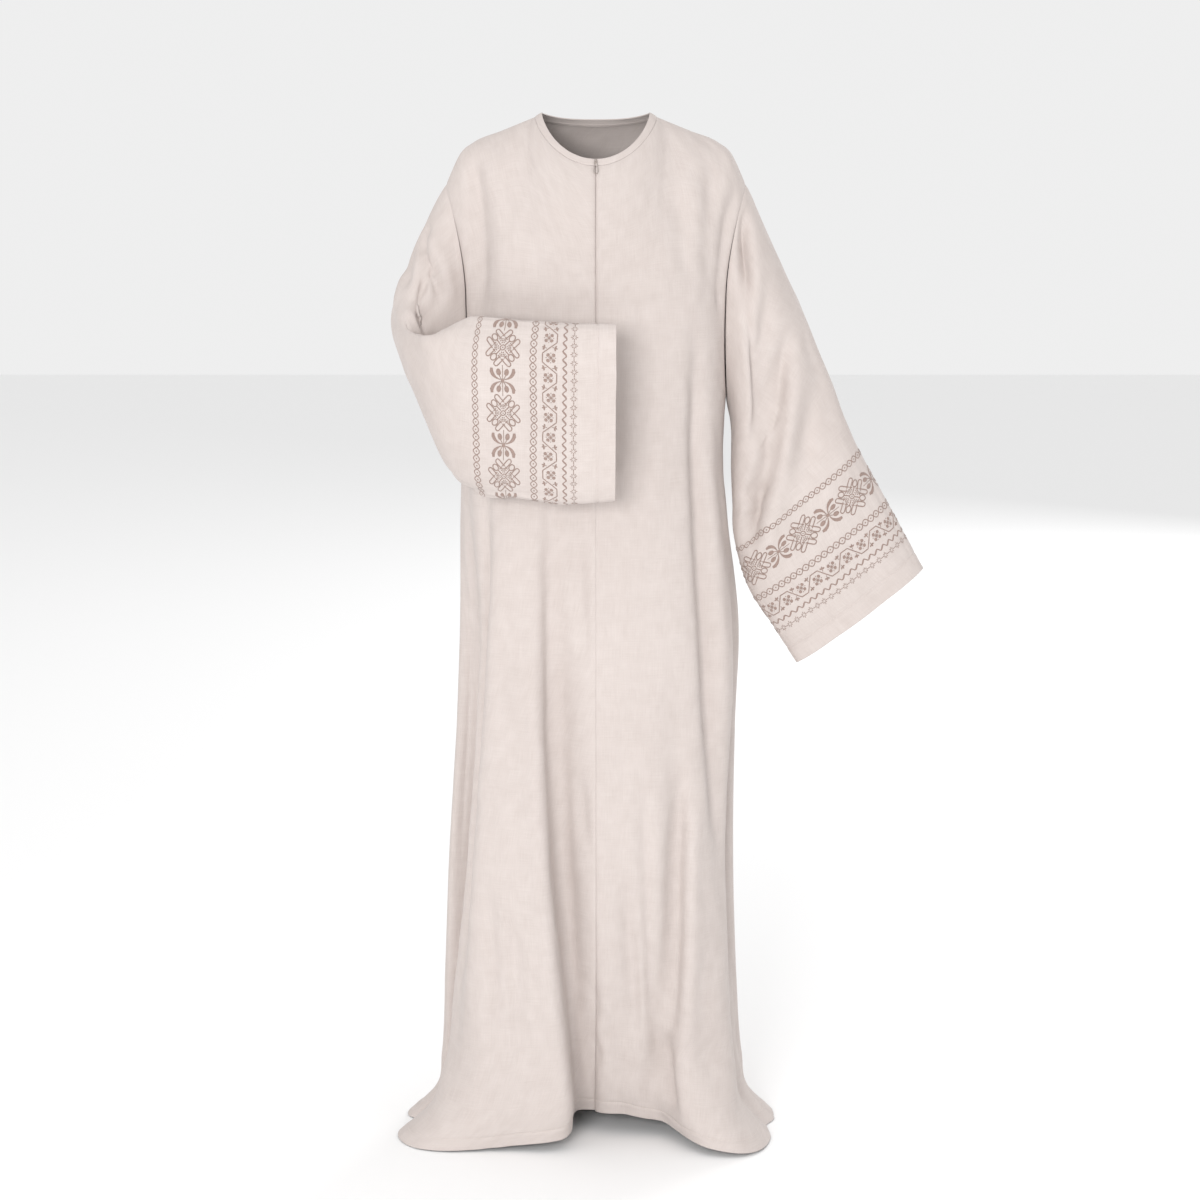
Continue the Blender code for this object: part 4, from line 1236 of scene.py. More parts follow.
class StrokeSheet:
    """Stitched strokes drawn flat as crowned ribbons, to be laid on cloth as one mesh."""

    PROFILE = np.array([-1.0, -0.55, 0.0, 0.55, 1.0])
    BASE_LIFT = 0.00012

    def __init__(self) -> None:
        """Starts with no strokes."""
        self.ribbons: list[tuple[np.ndarray, np.ndarray, bool]] = []

    def add(
        self,
        path: np.ndarray,
        half: np.ndarray,
        spots: np.ndarray,
        crown: float = 0.0005,
        closed: bool = False,
    ) -> None:
        """Draws one path at many spots.

        A ribbon's cross-section is a parabola: its lift is the crown times one less the square
        of the place across, over its base lift.

        Args:
            path: points along the stroke, in metres.
            half: half width at each point, or one for all.
            spots: offsets at which the path is repeated.
            crown: lift of the ribbon's middle.
            closed: whether the path returns to its start.
        """
        if closed:
            tangent = np.roll(path, -1, axis=0) - np.roll(path, 1, axis=0)
            steps = np.linalg.norm(np.roll(path, -1, axis=0) - path, axis=1)
            along = np.concatenate([[0], np.cumsum(steps)[:-1]])
        else:
            tangent = np.gradient(path, axis=0)
            along = run_lengths(path, 0)
        tangent = unit(tangent)
        aside = np.stack([-tangent[:, 1], tangent[:, 0]], axis=-1)
        half = np.broadcast_to(half, (len(path),))
        across = half[:, None] * self.PROFILE[None, :]
        local = path[:, None, :] + aside[:, None, :] * across[..., None]
        round_lift = (1 - self.PROFILE[None, :] ** 2) * np.minimum(crown, half[:, None])
        lift = self.BASE_LIFT + round_lift
        shape = (len(spots),) + across.shape
        flat = np.empty(shape + (3,))
        flat[..., :2] = local[None] + spots[:, None, None, :]
        flat[..., 2] = lift[None]
        marks = np.stack([np.broadcast_to(along[:, None], across.shape), across], axis=-1)
        self.ribbons.append((flat, np.broadcast_to(marks[None], shape + (2,)), closed))

    def fill(
        self, reach: tuple[float, float], wide: float, spots: np.ndarray, crown: float,
        degrees: float = 0.0,
    ) -> None:
        """Draws a filled leaf at many spots.

        Args:
            reach: places of the leaf's two tips along the X axis.
            wide: its greatest half width.
            spots: offsets at which it is repeated.
            crown: lift of its middle.
            degrees: turn of the leaf about the origin.
        """
        path, half = leaf((reach[0], 0.0), (reach[1], 0.0), wide)
        self.add(turned(path, degrees), half, spots, crown)

    def build(
        self, name: str, lay: "SleeveChart", finish: bpy.types.Material
    ) -> bpy.types.Object:
        """All strokes as one mesh on the sleeve.

        Args:
            name: the piece's name.
            lay: the chart that places flat points.
            finish: the thread's material.

        Returns:
            The embroidery's object.
        """
        points, marks, quads = [], [], []
        count = 0
        for flat, mark, closed in self.ribbons:
            many, length, wide = flat.shape[:3]
            corner = np.arange(many * length * wide).reshape(many, length, wide) + count
            after = np.roll(corner, -1, axis=1) if closed else corner[:, 1:]
            before = corner if closed else corner[:, :-1]
            quads.append(faces_between(before, after))
            points.append(lay.lay(flat).reshape(-1, 3))
            marks.append(mark.reshape(-1, 2))
            count += many * length * wide
        item = put_mesh(
            name, np.concatenate(points), np.concatenate(quads), np.concatenate(marks), finish
        )
        LOG.info("%s: %d faces", name, len(item.data.polygons))
        return item


def oval(centre: tuple[float, float], reach: tuple[float, float], count: int) -> np.ndarray:
    """A closed oval: centre plus cosine and sine times its two reaches."""
    angle = 2 * math.pi * np.arange(count) / count
    return np.stack(
        [centre[0] + reach[0] * np.cos(angle), centre[1] + reach[1] * np.sin(angle)], axis=-1
    )


def slot_outline(half: float, long: float, count: int) -> np.ndarray:
    """A closed slot that stands upright: two half circles joined by straight sides."""
    arc = np.linspace(0, math.pi, count)
    upper = np.stack([half * np.cos(arc), long + half * np.sin(arc)], axis=-1)
    lower = np.stack([-half * np.cos(arc), -long - half * np.sin(arc)], axis=-1)
    side = np.linspace(1, -1, 6)[1:-1, None] * np.array([[0.0, long]])
    left = side + np.array([[-half, 0.0]])
    right = -side + np.array([[half, 0.0]])
    return np.concatenate([upper, left, lower, right])


def loop_end(half: float, low: float, high: float, count: int) -> np.ndarray:
    """An open upright loop: up one side, round a half circle and down the other."""
    arc = np.linspace(0, math.pi, count)
    cap = np.stack([half * np.cos(arc), high + half * np.sin(arc)], axis=-1)
    rise = np.linspace(low, high, 4)[:-1]
    up = np.stack([np.full(3, half), rise], axis=-1)
    down = np.stack([np.full(3, -half), rise[::-1]], axis=-1)
    return np.concatenate([up, cap, down])


def turned(points: np.ndarray, degrees: float) -> np.ndarray:
    """Flat points turned about the origin."""
    angle = math.radians(degrees)
    spin = np.array([[math.cos(angle), math.sin(angle)], [-math.sin(angle), math.cos(angle)]])
    return points @ spin


def leaf(start: tuple[float, float], end: tuple[float, float], wide: float) -> tuple:
    """A filled leaf from tip to tip: a straight stroke whose half width is a half circle."""
    step = np.linspace(0, 1, 7)
    path = np.asarray(start) + step[:, None] * (np.asarray(end) - np.asarray(start))
    half = wide * np.sqrt(np.clip(1 - (2 * step - 1) ** 2, 0.02, 1))
    return path, half


@dataclass(frozen=True)
class SleeveEmbroidery:
    """The bands round a sleeve, each at its distance from the cuff's edge."""

    star_row: float = 0.0535
    wave_row: float = 0.0655
    vine_row: float = 0.0850
    near_chain: float = 0.107
    great_row: float = 0.149
    far_chain: float = 0.189
    chain_pitch: float = 0.0102
    wave_pitch: float = 0.0114
    star_pitch: float = 0.0118
    great_repeats: int = 6
    vine_repeats: int = 10

    def spots(self, girth: float, count: int, row: float, shift: float = 0.0) -> np.ndarray:
        """Evenly spaced places round a sleeve."""
        across = girth * (np.arange(count) + 0.5) / count + shift
        return np.stack([across, np.full(count, row)], axis=-1)

    def chain(self, sheet: StrokeSheet, girth: float, row: float) -> None:
        """Two strands that cross between eyes: two sines of opposite sign, with a dot each."""
        count = round(girth / self.chain_pitch)
        pitch = girth / count
        spots = self.spots(girth, count, row)
        step = np.linspace(-0.58, 0.58, 13)
        swing = np.cos(math.pi * step)
        bow = 0.0043 * np.sign(swing) * np.abs(swing) ** 0.84
        for way in (1, -1):
            path = np.stack([step * pitch, way * bow], axis=-1)
            sheet.add(path, 0.00066, spots)
        sheet.fill((-0.0011, 0.0011), 0.0010, spots, 0.0005)

    def lattice_star(self, sheet: StrokeSheet, spots: np.ndarray) -> None:
        """A star of four crossing bars with a ring between them, dotted like a weave inside."""
        stretch = np.array([1.10, 1.0])
        for degrees in (45, 135):
            for offset in (-0.0080, 0.0080):
                for end in (-1, 1):
                    loop = loop_end(0.0029, 0.0086, 0.0200, 7) * (1, end) + (offset, 0.0)
                    sheet.add(turned(loop, degrees) * stretch, 0.00080, spots, 0.0006)
                for place in np.linspace(-0.0066, 0.0066, 5):
                    for aside in (-0.0029, 0.0, 0.0029):
                        start = (offset + aside, place - 0.00095)
                        dot = leaf(start, (offset + aside, place + 0.00095), 0.00085)
                        sheet.add(turned(dot[0], degrees) * stretch, dot[1], spots, 0.0004)
            for end in (-1, 1):
                ring = turned(oval((0.0, end * 0.0168), (0.0036, 0.0046), 14), degrees)
                sheet.add(ring * stretch, 0.00080, spots, 0.0006, True)
                stem = np.array([[0.0, end * 0.0048], [0.0, end * 0.0080], [0.0, end * 0.0112]])
                sheet.add(turned(stem, degrees) * stretch, 0.00070, spots)
        sheet.add(turned(slot_outline(0.0030, 0.0008, 5), 45), 0.00070, spots, closed=True)
        sheet.fill((-0.0010, 0.0010), 0.0009, spots, 0.0005)

    def four_leaf(self, sheet: StrokeSheet, spots: np.ndarray, reach: float) -> None:
        """A stem through a square heart, with a filled and a curled leaf in each corner."""
        stem = np.stack([np.linspace(-reach, reach, 15), np.zeros(15)], axis=-1)
        sheet.add(stem, 0.00050, spots, 0.0004)
        path, half = leaf((-0.0024, 0.0), (0.0024, 0.0), 0.0024)
        sheet.add(path, np.maximum(half, 0.0015), spots, 0.0006)
        step = np.linspace(0, 1, 9)
        stalk = np.array([[0.0020, 0.0016], [0.0042, 0.0030], [0.0072, 0.0046]])
        claw = np.array([[0.0080, 0.0136], [0.0102, 0.0156], [0.0124, 0.0172]])
        curl_x = 0.0016 + 0.0150 * step**1.6
        curl = np.stack([curl_x, 0.0026 + 0.0124 * np.sin(1.75 * step)], axis=-1)
        thick = 0.0006 + 0.0019 * soft_step(step / 0.70) * (1.0 - 0.40 * step**6)
        for way in (-1, 1):
            for aside in (-1, 1):
                corner = (way, aside)
                path, half = leaf((0.0066, 0.0044), (0.0160, 0.0064), 0.0032)
                sheet.add(path * corner, half, spots, 0.0007)
                sheet.add(stalk * corner, 0.00055, spots, 0.0004)
                sheet.add(curl * corner, thick, spots, 0.0006)
                sheet.add(claw * corner, 0.0008, spots)

    def great_band(self, sheet: StrokeSheet, girth: float, shift: float) -> None:
        """Lattice stars and four-leaf motifs by turns, joined by stems."""
        repeat = girth / self.great_repeats
        stars = self.spots(girth, self.great_repeats, self.great_row, shift)
        self.lattice_star(sheet, stars)
        between = stars + np.array([repeat / 2, 0.0])
        self.four_leaf(sheet, between, repeat / 2 - 0.0235)

    def flower(self, sheet: StrokeSheet, spots: np.ndarray) -> None:
        """Four filled petals round a small woven cross."""
        bar = np.array([[-0.0034, 0.0], [0.0, 0.0], [0.0034, 0.0]])
        for degrees in (0, 90, 180, 270):
            sheet.fill((0.0030, 0.0074), 0.0025, spots, 0.0006, degrees + 45)
            sheet.add(turned(bar, degrees / 2), 0.00045, spots, 0.0004)
            sheet.fill((0.0052, 0.0070), 0.0006, spots, 0.0004, degrees)

    def sprig(self, sheet: StrokeSheet, spots: np.ndarray, degrees: float) -> None:
        """Three small leaves on a stalk."""
        stalk = np.array([[0.0, -0.0028], [0.0, -0.0008], [0.0, 0.0010]])
        sheet.add(turned(stalk, degrees), 0.00050, spots, 0.0004)
        for lean in (-58, 0, 58):
            path, half = leaf((0.0, 0.0006), (0.0, 0.0042), 0.0011)
            sheet.add(turned(path, lean + degrees), half, spots)

    def vine(self, sheet: StrokeSheet, girth: float) -> None:
        """A stem that swings from side to side in straight runs, with a flower in each bend."""
        period = girth / self.vine_repeats
        corners = np.array([0.0, 0.11, 0.39, 0.61, 0.89, 1.0])
        sides = np.array([1.0, 1.0, -1.0, -1.0, 1.0, 1.0]) * 0.0092
        step = np.linspace(0, 1, 37)
        path = np.stack([step * period, np.interp(step, corners, sides)], axis=-1)
        starts = self.spots(girth, self.vine_repeats, self.vine_row, -period / 2)
        sheet.add(path, 0.00072, starts)
        self.flower(sheet, starts + np.array([0.0, -0.0018]))
        self.flower(sheet, starts + np.array([period / 2, 0.0018]))
        for place, lean in ((0.25, -14), (0.75, 14)):
            self.sprig(sheet, starts + np.array([place * period, 0.0064]), lean)
            self.sprig(sheet, starts + np.array([place * period, -0.0064]), lean + 180)

    def wave(self, sheet: StrokeSheet, girth: float) -> None:
        """A stepped wave: short thick slants joined by thin steps."""
        count = round(girth / self.wave_pitch)
        pitch = girth / count
        spots = self.spots(girth, count, self.wave_row)
        share = np.array([-0.52, -0.36, -0.22, 0.02, 0.16, 0.34, 0.52])
        aside = np.array([-0.0021, -0.0023, -0.0014, 0.0014, 0.0023, 0.0006, -0.0021])
        half = np.array([0.0007, 0.0010, 0.0012, 0.0012, 0.0010, 0.0007, 0.0007])
        sheet.add(np.stack([share * pitch, aside], axis=-1), half, spots)

    def stars(self, sheet: StrokeSheet, girth: float) -> None:
        """Small eight-pointed stars of short stitches, with a dot between."""
        count = round(girth / self.star_pitch)
        pitch = girth / count
        spots = self.spots(girth, count, self.star_row)
        for degrees in range(0, 360, 45):
            start, end = (0.0016, 0.0038) if degrees % 90 else (0.0020, 0.0046)
            path = np.array([[start, 0.0], [(start + end) / 2, 0.0], [end, 0.0]])
            sheet.add(turned(path, degrees), 0.00054, spots, 0.0004)
        between = spots + np.array([pitch / 2, 0.0])
        sheet.fill((-0.0008, 0.0008), 0.0008, between, 0.0004)

    def build(
        self, name: str, chart: SleeveChart, shift: float, finish: bpy.types.Material
    ) -> bpy.types.Object:
        """All bands on one sleeve.

        Args:
            name: the piece's name.
            chart: the sleeve's chart.
            shift: place of the first lattice star round the sleeve.
            finish: the thread's material.

        Returns:
            The embroidery's object.
        """
        sheet = StrokeSheet()
        self.chain(sheet, chart.girth, self.near_chain)
        self.chain(sheet, chart.girth, self.far_chain)
        self.great_band(sheet, chart.girth, shift)
        self.vine(sheet, chart.girth)
        self.wave(sheet, chart.girth)
        self.stars(sheet, chart.girth)
        return sheet.build(name, chart, finish)


@dataclass(frozen=True)
class StitchRow:
    """A row of machine stitches along a line on cloth."""

    pitch: float = 0.0032
    length: float = 0.0023
    half: float = 0.00028

    def build(
        self,
        name: str,
        line: np.ndarray,
        normals: np.ndarray,
        finish: bpy.types.Material,
    ) -> bpy.types.Object:
        """Short crowned ribbons, one for each stitch.

        Each stitch's four cross-sections lie at even steps along it and dip at both ends by a
        half sine.

        Args:
            name: the piece's name.
            line: points of the line.
            normals: the cloth's outward normals there.
            finish: the thread's material.

        Returns:
            The stitches' object.
        """
        run = run_lengths(line, 0)
        count = int(run[-1] / self.pitch)
        starts = (np.arange(count) + 0.14) * run[-1] / count
        step = np.linspace(0, 1, 4)
        places = starts[:, None] + step[None, :] * self.length
        middle = sampled(places, run, line)
        outward = unit(sampled(places, run, normals))
        tangent = unit(np.gradient(middle, axis=1))
        aside = np.cross(outward, tangent)
        profile = np.array([-1.0, 0.0, 1.0])
        rise = 0.00034 * np.sin(math.pi * np.clip(step, 0.06, 0.94))
        lift = 0.00006 + rise[None, :, None] * (1 - profile**2)[None, None, :]
        points = (
            middle[:, :, None, :]
            + aside[:, :, None, :] * (self.half * profile)[None, None, :, None]
            + outward[:, :, None, :] * lift[..., None]
        )
        corner = np.arange(points[..., 0].size).reshape(points.shape[:-1])
        quads = faces_between(corner[:, :-1], corner[:, 1:])
        marks = np.zeros(points.shape[:-1] + (2,))
        marks[..., 0] = (step * self.length)[None, :, None]
        marks[..., 1] = (self.half * profile)[None, None, :]
        return put_mesh(name, points, quads, marks, finish)


def row_at(grid: np.ndarray, closed: bool, distance: float) -> tuple[np.ndarray, np.ndarray]:
    """Line at a distance above a grid's lower edge, with its normals.

    Args:
        grid: the piece's points.
        closed: whether the last column meets the first.
        distance: distance from the lower edge along the cloth.

    Returns:
        The line's points and outward normals, closed by its first point on a closed grid.
    """
    gaps = np.abs(edge_distance(grid, Edge.BOTTOM) - distance)
    rows = gaps.argmin(axis=0)
    columns = np.arange(grid.shape[1])
    line = grid[rows, columns]
    normals = grid_normals(grid, closed)[rows, columns]
    if closed:
        line = np.concatenate([line, line[:1]])
        normals = np.concatenate([normals, normals[:1]])
    return line, normals


@dataclass
class Bodice:
    """The two fronts and the back, from the shoulders to the hem."""

    seam: tuple[float, float] = (0.0009, 0.0032)
    neck_seam: tuple[float, float] = (0.0004, 0.0026)
    centre_seam: tuple[float, float] = (0.0005, 0.0022)
    zip_edge: tuple[float, float] = (0.0020, 0.0023)
    zip_end: float = -0.318
    zip_gap: float = 0.00020
    meeting: float = 0.012

    def front(self, side: Side) -> ClothPiece:
        """One front: its centre edge turns in deeply along the zip and little below it."""
        left = side is Side.LEFT
        grid = half_panel(Half.FRONT, side)
        grid = grid if left else grid[:, ::-1]
        centre = Edge.FIRST if left else Edge.LAST
        outer = Edge.LAST if left else Edge.FIRST
        sewn = {Edge.TOP: self.neck_seam, outer: self.seam, centre: self.centre_seam}
        name = "front_left" if left else "front_right"
        seed = 11 if left else 12
        piece = ClothPiece(name, grid, False, sewn, PLAN.hem_depth, seed, centre)
        piece.press(panel_press(piece.grid, FRONT_CREASES))
        piece.finish_edges()
        return piece

    def fronts(self) -> tuple[ClothPiece, ClothPiece]:
        """Both fronts, met along the centre.

        Their edges move to their mean, less with the distance from it, and then part slightly
        along the zip, where they turn in deeper.
        """
        left, right = self.front(Side.LEFT), self.front(Side.RIGHT)
        mean = (left.grid[:, 0] + right.grid[:, -1]) / 2
        mean[:, 0] = 0.0
        for piece, edge, column, way in ((left, Edge.FIRST, 0, 1), (right, Edge.LAST, -1, -1)):
            away = edge_distance(piece.grid, edge)
            pull = (mean - piece.grid[:, column])[:, None, :]
            piece.grid = piece.grid + pull * np.exp(-away / self.meeting)[..., None]
            along = soft_step((piece.grid[..., 2] - self.zip_end) / self.meeting)
            piece.grid[..., 1] += turned_edge(away, *self.zip_edge) * along
            piece.grid[..., 0] += way * self.zip_gap * np.exp(-away / 0.002) * along
        return left, right

    def back(self) -> ClothPiece:
        """The back, in one piece."""
        left = half_panel(Half.BACK, Side.LEFT)[:, ::-1]
        right = half_panel(Half.BACK, Side.RIGHT)[:, 1:]
        grid = np.concatenate([left, right], axis=1)
        rows = np.arange(len(grid))
        keep = (rows < PLAN.armhole_count()) | (rows % 3 != 0) | (rows > len(grid) - 14)
        grid = grid[keep]
        keep = np.arange(grid.shape[1])
        middle = np.abs(keep - grid.shape[1] // 2) < 26
        grid = grid[:, ~middle | (keep % 2 == 0)]
        sewn = {Edge.TOP: self.neck_seam, Edge.FIRST: self.seam, Edge.LAST: self.seam}
        piece = ClothPiece("back", grid, False, sewn, PLAN.hem_depth, 13)
        piece.press(panel_press(piece.grid, BACK_CREASES))
        piece.finish_edges()
        return piece


@dataclass
class Sleeve:
    """One sleeve, lofted from the armhole through its rings to the cuff.

    A ring's point is its middle plus the cosine of the angle times half its height plus the
    sine times its half depth.
    """

    side: Side
    rings: Sequence[Ring]
    folds: Sequence[SleeveCrease]
    wrinkles: Sequence[SleeveCrease]
    shown: Sequence[PanelCrease]
    seed: int
    length: float = 0.600
    rows: int = 176
    cuff_hem: float = 0.025
    bands_middle: float = 0.125
    bands_width: float = 0.055
    pucker_depth: float = 0.0010

    def places(self) -> np.ndarray:
        """Distances from the cuff of the rows, closer together at armhole, stitch line and cuff."""
        even = crowded(np.linspace(0, self.length, self.rows + 1))
        line = self.cuff_hem + np.array([-0.0016, 0.0, 0.0016])
        return np.sort(np.concatenate([even, line]))[::-1]

    def angles(self, edge: np.ndarray) -> np.ndarray:
        """Angle from the shoulder tip to the underarm, by distance along an armhole edge."""
        run = run_lengths(edge, 0)
        return math.pi * run / run[-1]

    def ring_points(self, row: Ring, angles: np.ndarray) -> np.ndarray:
        """One ring's points."""
        out = np.array([row.out_x, row.out_y, row.out_z])
        inner = np.array([row.in_x, row.in_y, row.in_z])
        ahead = np.array([row.ahead_x, row.ahead_y, row.ahead_z])
        upright = np.cos(angles)[:, None] * (out - inner) / 2
        return (out + inner) / 2 + upright + np.sin(angles)[:, None] * ahead

    def piece(self) -> ClothPiece:
        """The sleeve's cloth, from the armhole edges of the front and the back."""
        left = self.side is Side.LEFT
        halves = (Half.BACK, Half.FRONT) if left else (Half.FRONT, Half.BACK)
        first, second = (armhole_edge(half, self.side) for half in halves)
        armhole = np.concatenate([first, second[-2:0:-1]])
        round_second = 2 * math.pi - self.angles(second)[-2:0:-1]
        angles = np.concatenate([self.angles(first), round_second])
        angles = -self.side.value * angles
        table = [armhole] + [self.ring_points(row, angles) for row in self.rings]
        knots = [0.0] + [self.length - row.from_cuff for row in self.rings]
        places = self.places()
        grid = curve(knots, np.array(table), self.length - places)
        degrees = np.degrees(angles)[None, :] % 360
        large = sleeve_press(self.folds, places[:, None], degrees)
        grid = grid - large[..., None] * grid_normals(grid, True)
        name = "sleeve_left" if left else "sleeve_right"
        sewn = {Edge.TOP: (0.0010, 0.0032)}
        made = ClothPiece(name, grid, True, sewn, self.cuff_hem, self.seed)
        ahead = soft_step(-grid_normals(made.grid, True)[..., 1] / 0.5)
        made.press(panel_press(made.grid, self.shown) * ahead)
        made.press(sleeve_press(self.wrinkles, places[:, None], degrees))
        made.press(self.pucker(places[:, None], degrees))
        made.finish_edges()
        return made

    def pucker(self, from_cuff: np.ndarray, degrees: np.ndarray) -> np.ndarray:
        """Small upright puckers that the embroidery draws into the cloth.

        Their depth is a sum of seeded sines round the sleeve, times a bell over the distance
        from the middle of the bands.

        Args:
            from_cuff: distance from the cuff, a column.
            degrees: angle round the ring, a row.

        Returns:
            Depths in metres.
        """
        dice = np.random.default_rng(self.seed + 40)
        near = bell(from_cuff - self.bands_middle, self.bands_width)
        total = np.zeros(np.broadcast_shapes(from_cuff.shape, degrees.shape))
        for count in (13, 19, 23, 31, 37):
            phase = dice.uniform(0, 2 * math.pi)
            lean = dice.uniform(-24.0, 24.0)
            wave = np.sin(np.radians(degrees) * count + phase + lean * from_cuff)
            total = total + wave / count**0.5
        return self.pucker_depth * near * total

    def chart(self, made: ClothPiece) -> SleeveChart:
        """The chart for the embroidery on the finished sleeve."""
        return SleeveChart(made.grid, self.places(), 0.05, 0.21)


@dataclass(frozen=True)
class NeckBand:
    """The narrow band round the neckline, folded double, with its stitch line."""

    in_centre: float = 0.0045
    in_shoulder: float = 0.0100
    rise_centre: float = 0.0090
    rise_shoulder: float = 0.0060
    wall: float = 0.0016
    rows: int = 12

    def piece(self, neckline: np.ndarray) -> ClothPiece:
        """A strip up and in from the neckline, a little crowned: a half sine over its height."""
        flat = neckline[:, :2] * np.array([1.0, BODY.neck_half_width / BODY.neck_front])
        outward = flat / np.linalg.norm(flat, axis=1, keepdims=True)
        side = outward[:, 0] ** 2
        lean = self.in_centre + (self.in_shoulder - self.in_centre) * side
        rise = self.rise_centre + (self.rise_shoulder - self.rise_centre) * side
        step = np.column_stack([-outward[:, 0] * lean, -outward[:, 1] * lean, rise])
        share = np.linspace(1, 0, self.rows + 1)
        grid = neckline[None] + share[:, None, None] * step[None]
        crown = -0.0005 * np.sin(math.pi * share) ** 0.7
        grid = grid - crown[:, None, None] * grid_normals(grid, False)
        end = (0.0008, 0.002)
        sewn = {Edge.BOTTOM: (0.0003, 0.0012), Edge.FIRST: end, Edge.LAST: end}
        made = ClothPiece("neck_band", grid, False, sewn, wall=self.wall)
        made.turn_edges()
        return made


@dataclass(frozen=True)
class HiddenZip:
    """Tape and coil teeth behind the front edges, from the neck band to the zip's end."""

    half_tape: float = 0.0105
    tape_wall: float = 0.0006
    behind: float = 0.0046
    tooth_pitch: float = 0.0014
    tooth_reach: float = 0.0026
    tooth_lift: float = 0.0003
    tooth_rise: float = 0.0012
    wire: float = 0.00042

    def line(self, left: ClothPiece, end: float) -> np.ndarray:
        """The centre line of the cloth down to the zip's end."""
        line = left.grid[:, 4].copy()
        line[:, 0] = 0.0
        return line[line[:, 2] > end]

    def build(self, left: ClothPiece, end: float) -> list[bpy.types.Object]:
        """Tape as a flat strip along the line, teeth as small loops across it.

        Args:
            left: the left front.
            end: height of the zip's end.

        Returns:
            The tape and the teeth.
        """
        line = self.line(left, end)
        tangent = unit(np.gradient(line, axis=0))
        across = np.array([1.0, 0.0, 0.0])
        outward = unit(np.cross(tangent, across))
        back = line - outward * self.behind
        places = np.linspace(-self.half_tape, self.half_tape, 7)
        grid = back[:, None, :] + places[None, :, None] * across
        run = run_lengths(back, 0)
        marks = np.stack(np.broadcast_arrays(run[:, None], places), axis=-1)
        quads = grid_quads(len(line), len(places), False)
        tape = put_mesh("zip_tape", grid, quads, marks, ZIP_TAPE.build())
        thicken(tape, self.tape_wall)
        count = int(run[-1] / self.tooth_pitch)
        at = (np.arange(count) + 0.5) * run[-1] / count
        way = unit(sampled(at, run, outward))
        along = np.cross(across, way)
        bow = np.linspace(0, math.pi, 7)
        lift = self.tooth_lift + self.tooth_rise * np.sin(bow)
        path = (
            sampled(at, run, back)[:, None, :]
            + np.cos(bow)[None, :, None] * self.tooth_reach * across
            + lift[None, :, None] * way[:, None, :]
        )
        spin = (2 * math.pi * np.arange(5) / 5)[None, None, :, None]
        radial = unit(np.cross(unit(np.gradient(path, axis=1)), along[:, None, :]))
        tube = (
            path[:, :, None, :]
            + self.wire * np.cos(spin) * radial[:, :, None, :]
            + self.wire * np.sin(spin) * along[:, None, None, :]
        )
        corner = np.arange(tube[..., 0].size).reshape(tube.shape[:-1])
        quads = faces_between(corner[:, :-1], corner[:, 1:], True)
        marks = np.zeros(tube.shape[:-1] + (2,))
        teeth = put_mesh("zip_teeth", tube, quads, marks, METAL.build())
        return [tape, teeth]


class Lamp(NamedTuple):
    """A square soft light: its name, place, width and power in watts."""

    name: str
    place: tuple[float, float, float]
    size: float
    power: float


LAMPS = (
    Lamp("key", (-1.1, -4.7, 0.5), 1.5, 130.0),
    Lamp("fill", (2.8, -4.0, 0.2), 2.4, 12.0),
    Lamp("top", (0.2, 0.6, 2.4), 2.0, 8.0),
    Lamp("behind", (2.6, 4.2, 0.6), 1.6, 70.0),
)


@dataclass(frozen=True)
class Studio:
    """The camera at the photograph's angle, soft light and a pale floor."""

    distance: float = 4.2
    height: float = 1.60
    centre_x: float = 0.0057
    target_z: float = -0.676
    scale: float = 0.001416
    pixels: int = 1200
    sensor: float = 36.0
    glow: float = 0.86
    floor_reach: float = 9.0
    floor_gap: float = 0.0015

    def camera(self) -> None:
        """A long lens that sees its pixels of the stated scale at the robe's middle plane."""
        place = Vector((self.centre_x, -self.distance, FLOOR + self.height))
        target = Vector((self.centre_x, 0.0, self.target_z))
        data = bpy.data.cameras.new("camera")
        data.sensor_width = self.sensor
        data.lens = self.sensor * (target - place).length / (self.scale * self.pixels)
        bpy.context.scene.camera = self.aimed("camera", data, place, target)

    def aimed(
        self, name: str, data: bpy.types.ID, place: Vector, target: Vector
    ) -> bpy.types.Object:
        """A camera or light that stands at a place and faces a target."""
        item = put_object(name, data)
        item.location = place
        item.rotation_euler = (target - place).to_track_quat("-Z", "Y").to_euler()
        return item

    def build(self) -> None:
        """Camera, four soft lights, a white surrounding and the floor."""
        self.camera()
        bpy.context.scene.view_settings.view_transform = "Standard"
        for lamp in LAMPS:
            data = bpy.data.lights.new(lamp.name, "AREA")
            data.size = lamp.size
            data.energy = lamp.power
            self.aimed(lamp.name, data, Vector(lamp.place), Vector((0.0, 0.0, -0.75)))
        world = bpy.data.worlds.new("surrounding")
        world.use_nodes = True
        back = world.node_tree.nodes["Background"]
        back.inputs["Color"].default_value = (1.0, 1.0, 1.0, 1.0)
        back.inputs["Strength"].default_value = self.glow
        bpy.context.scene.world = world
        side = np.linspace(-self.floor_reach, self.floor_reach, 13)
        grid = np.stack(np.meshgrid(side, side), axis=-1)
        level = np.full(grid.shape[:2] + (1,), FLOOR - self.floor_gap)
        points = np.concatenate([grid, level], axis=-1)
        quads = grid_quads(len(side), len(side), False)[:, ::-1]
        floor = put_mesh("floor", points, quads, grid, PaleFloor().build())


class Cut(NamedTuple):
    """The flat cut of a sheet as far as it shows: its size, its area and what carries it."""

    flat: tuple[float, float]
    area: Optional[float]
    rests_on: tuple[str, str]


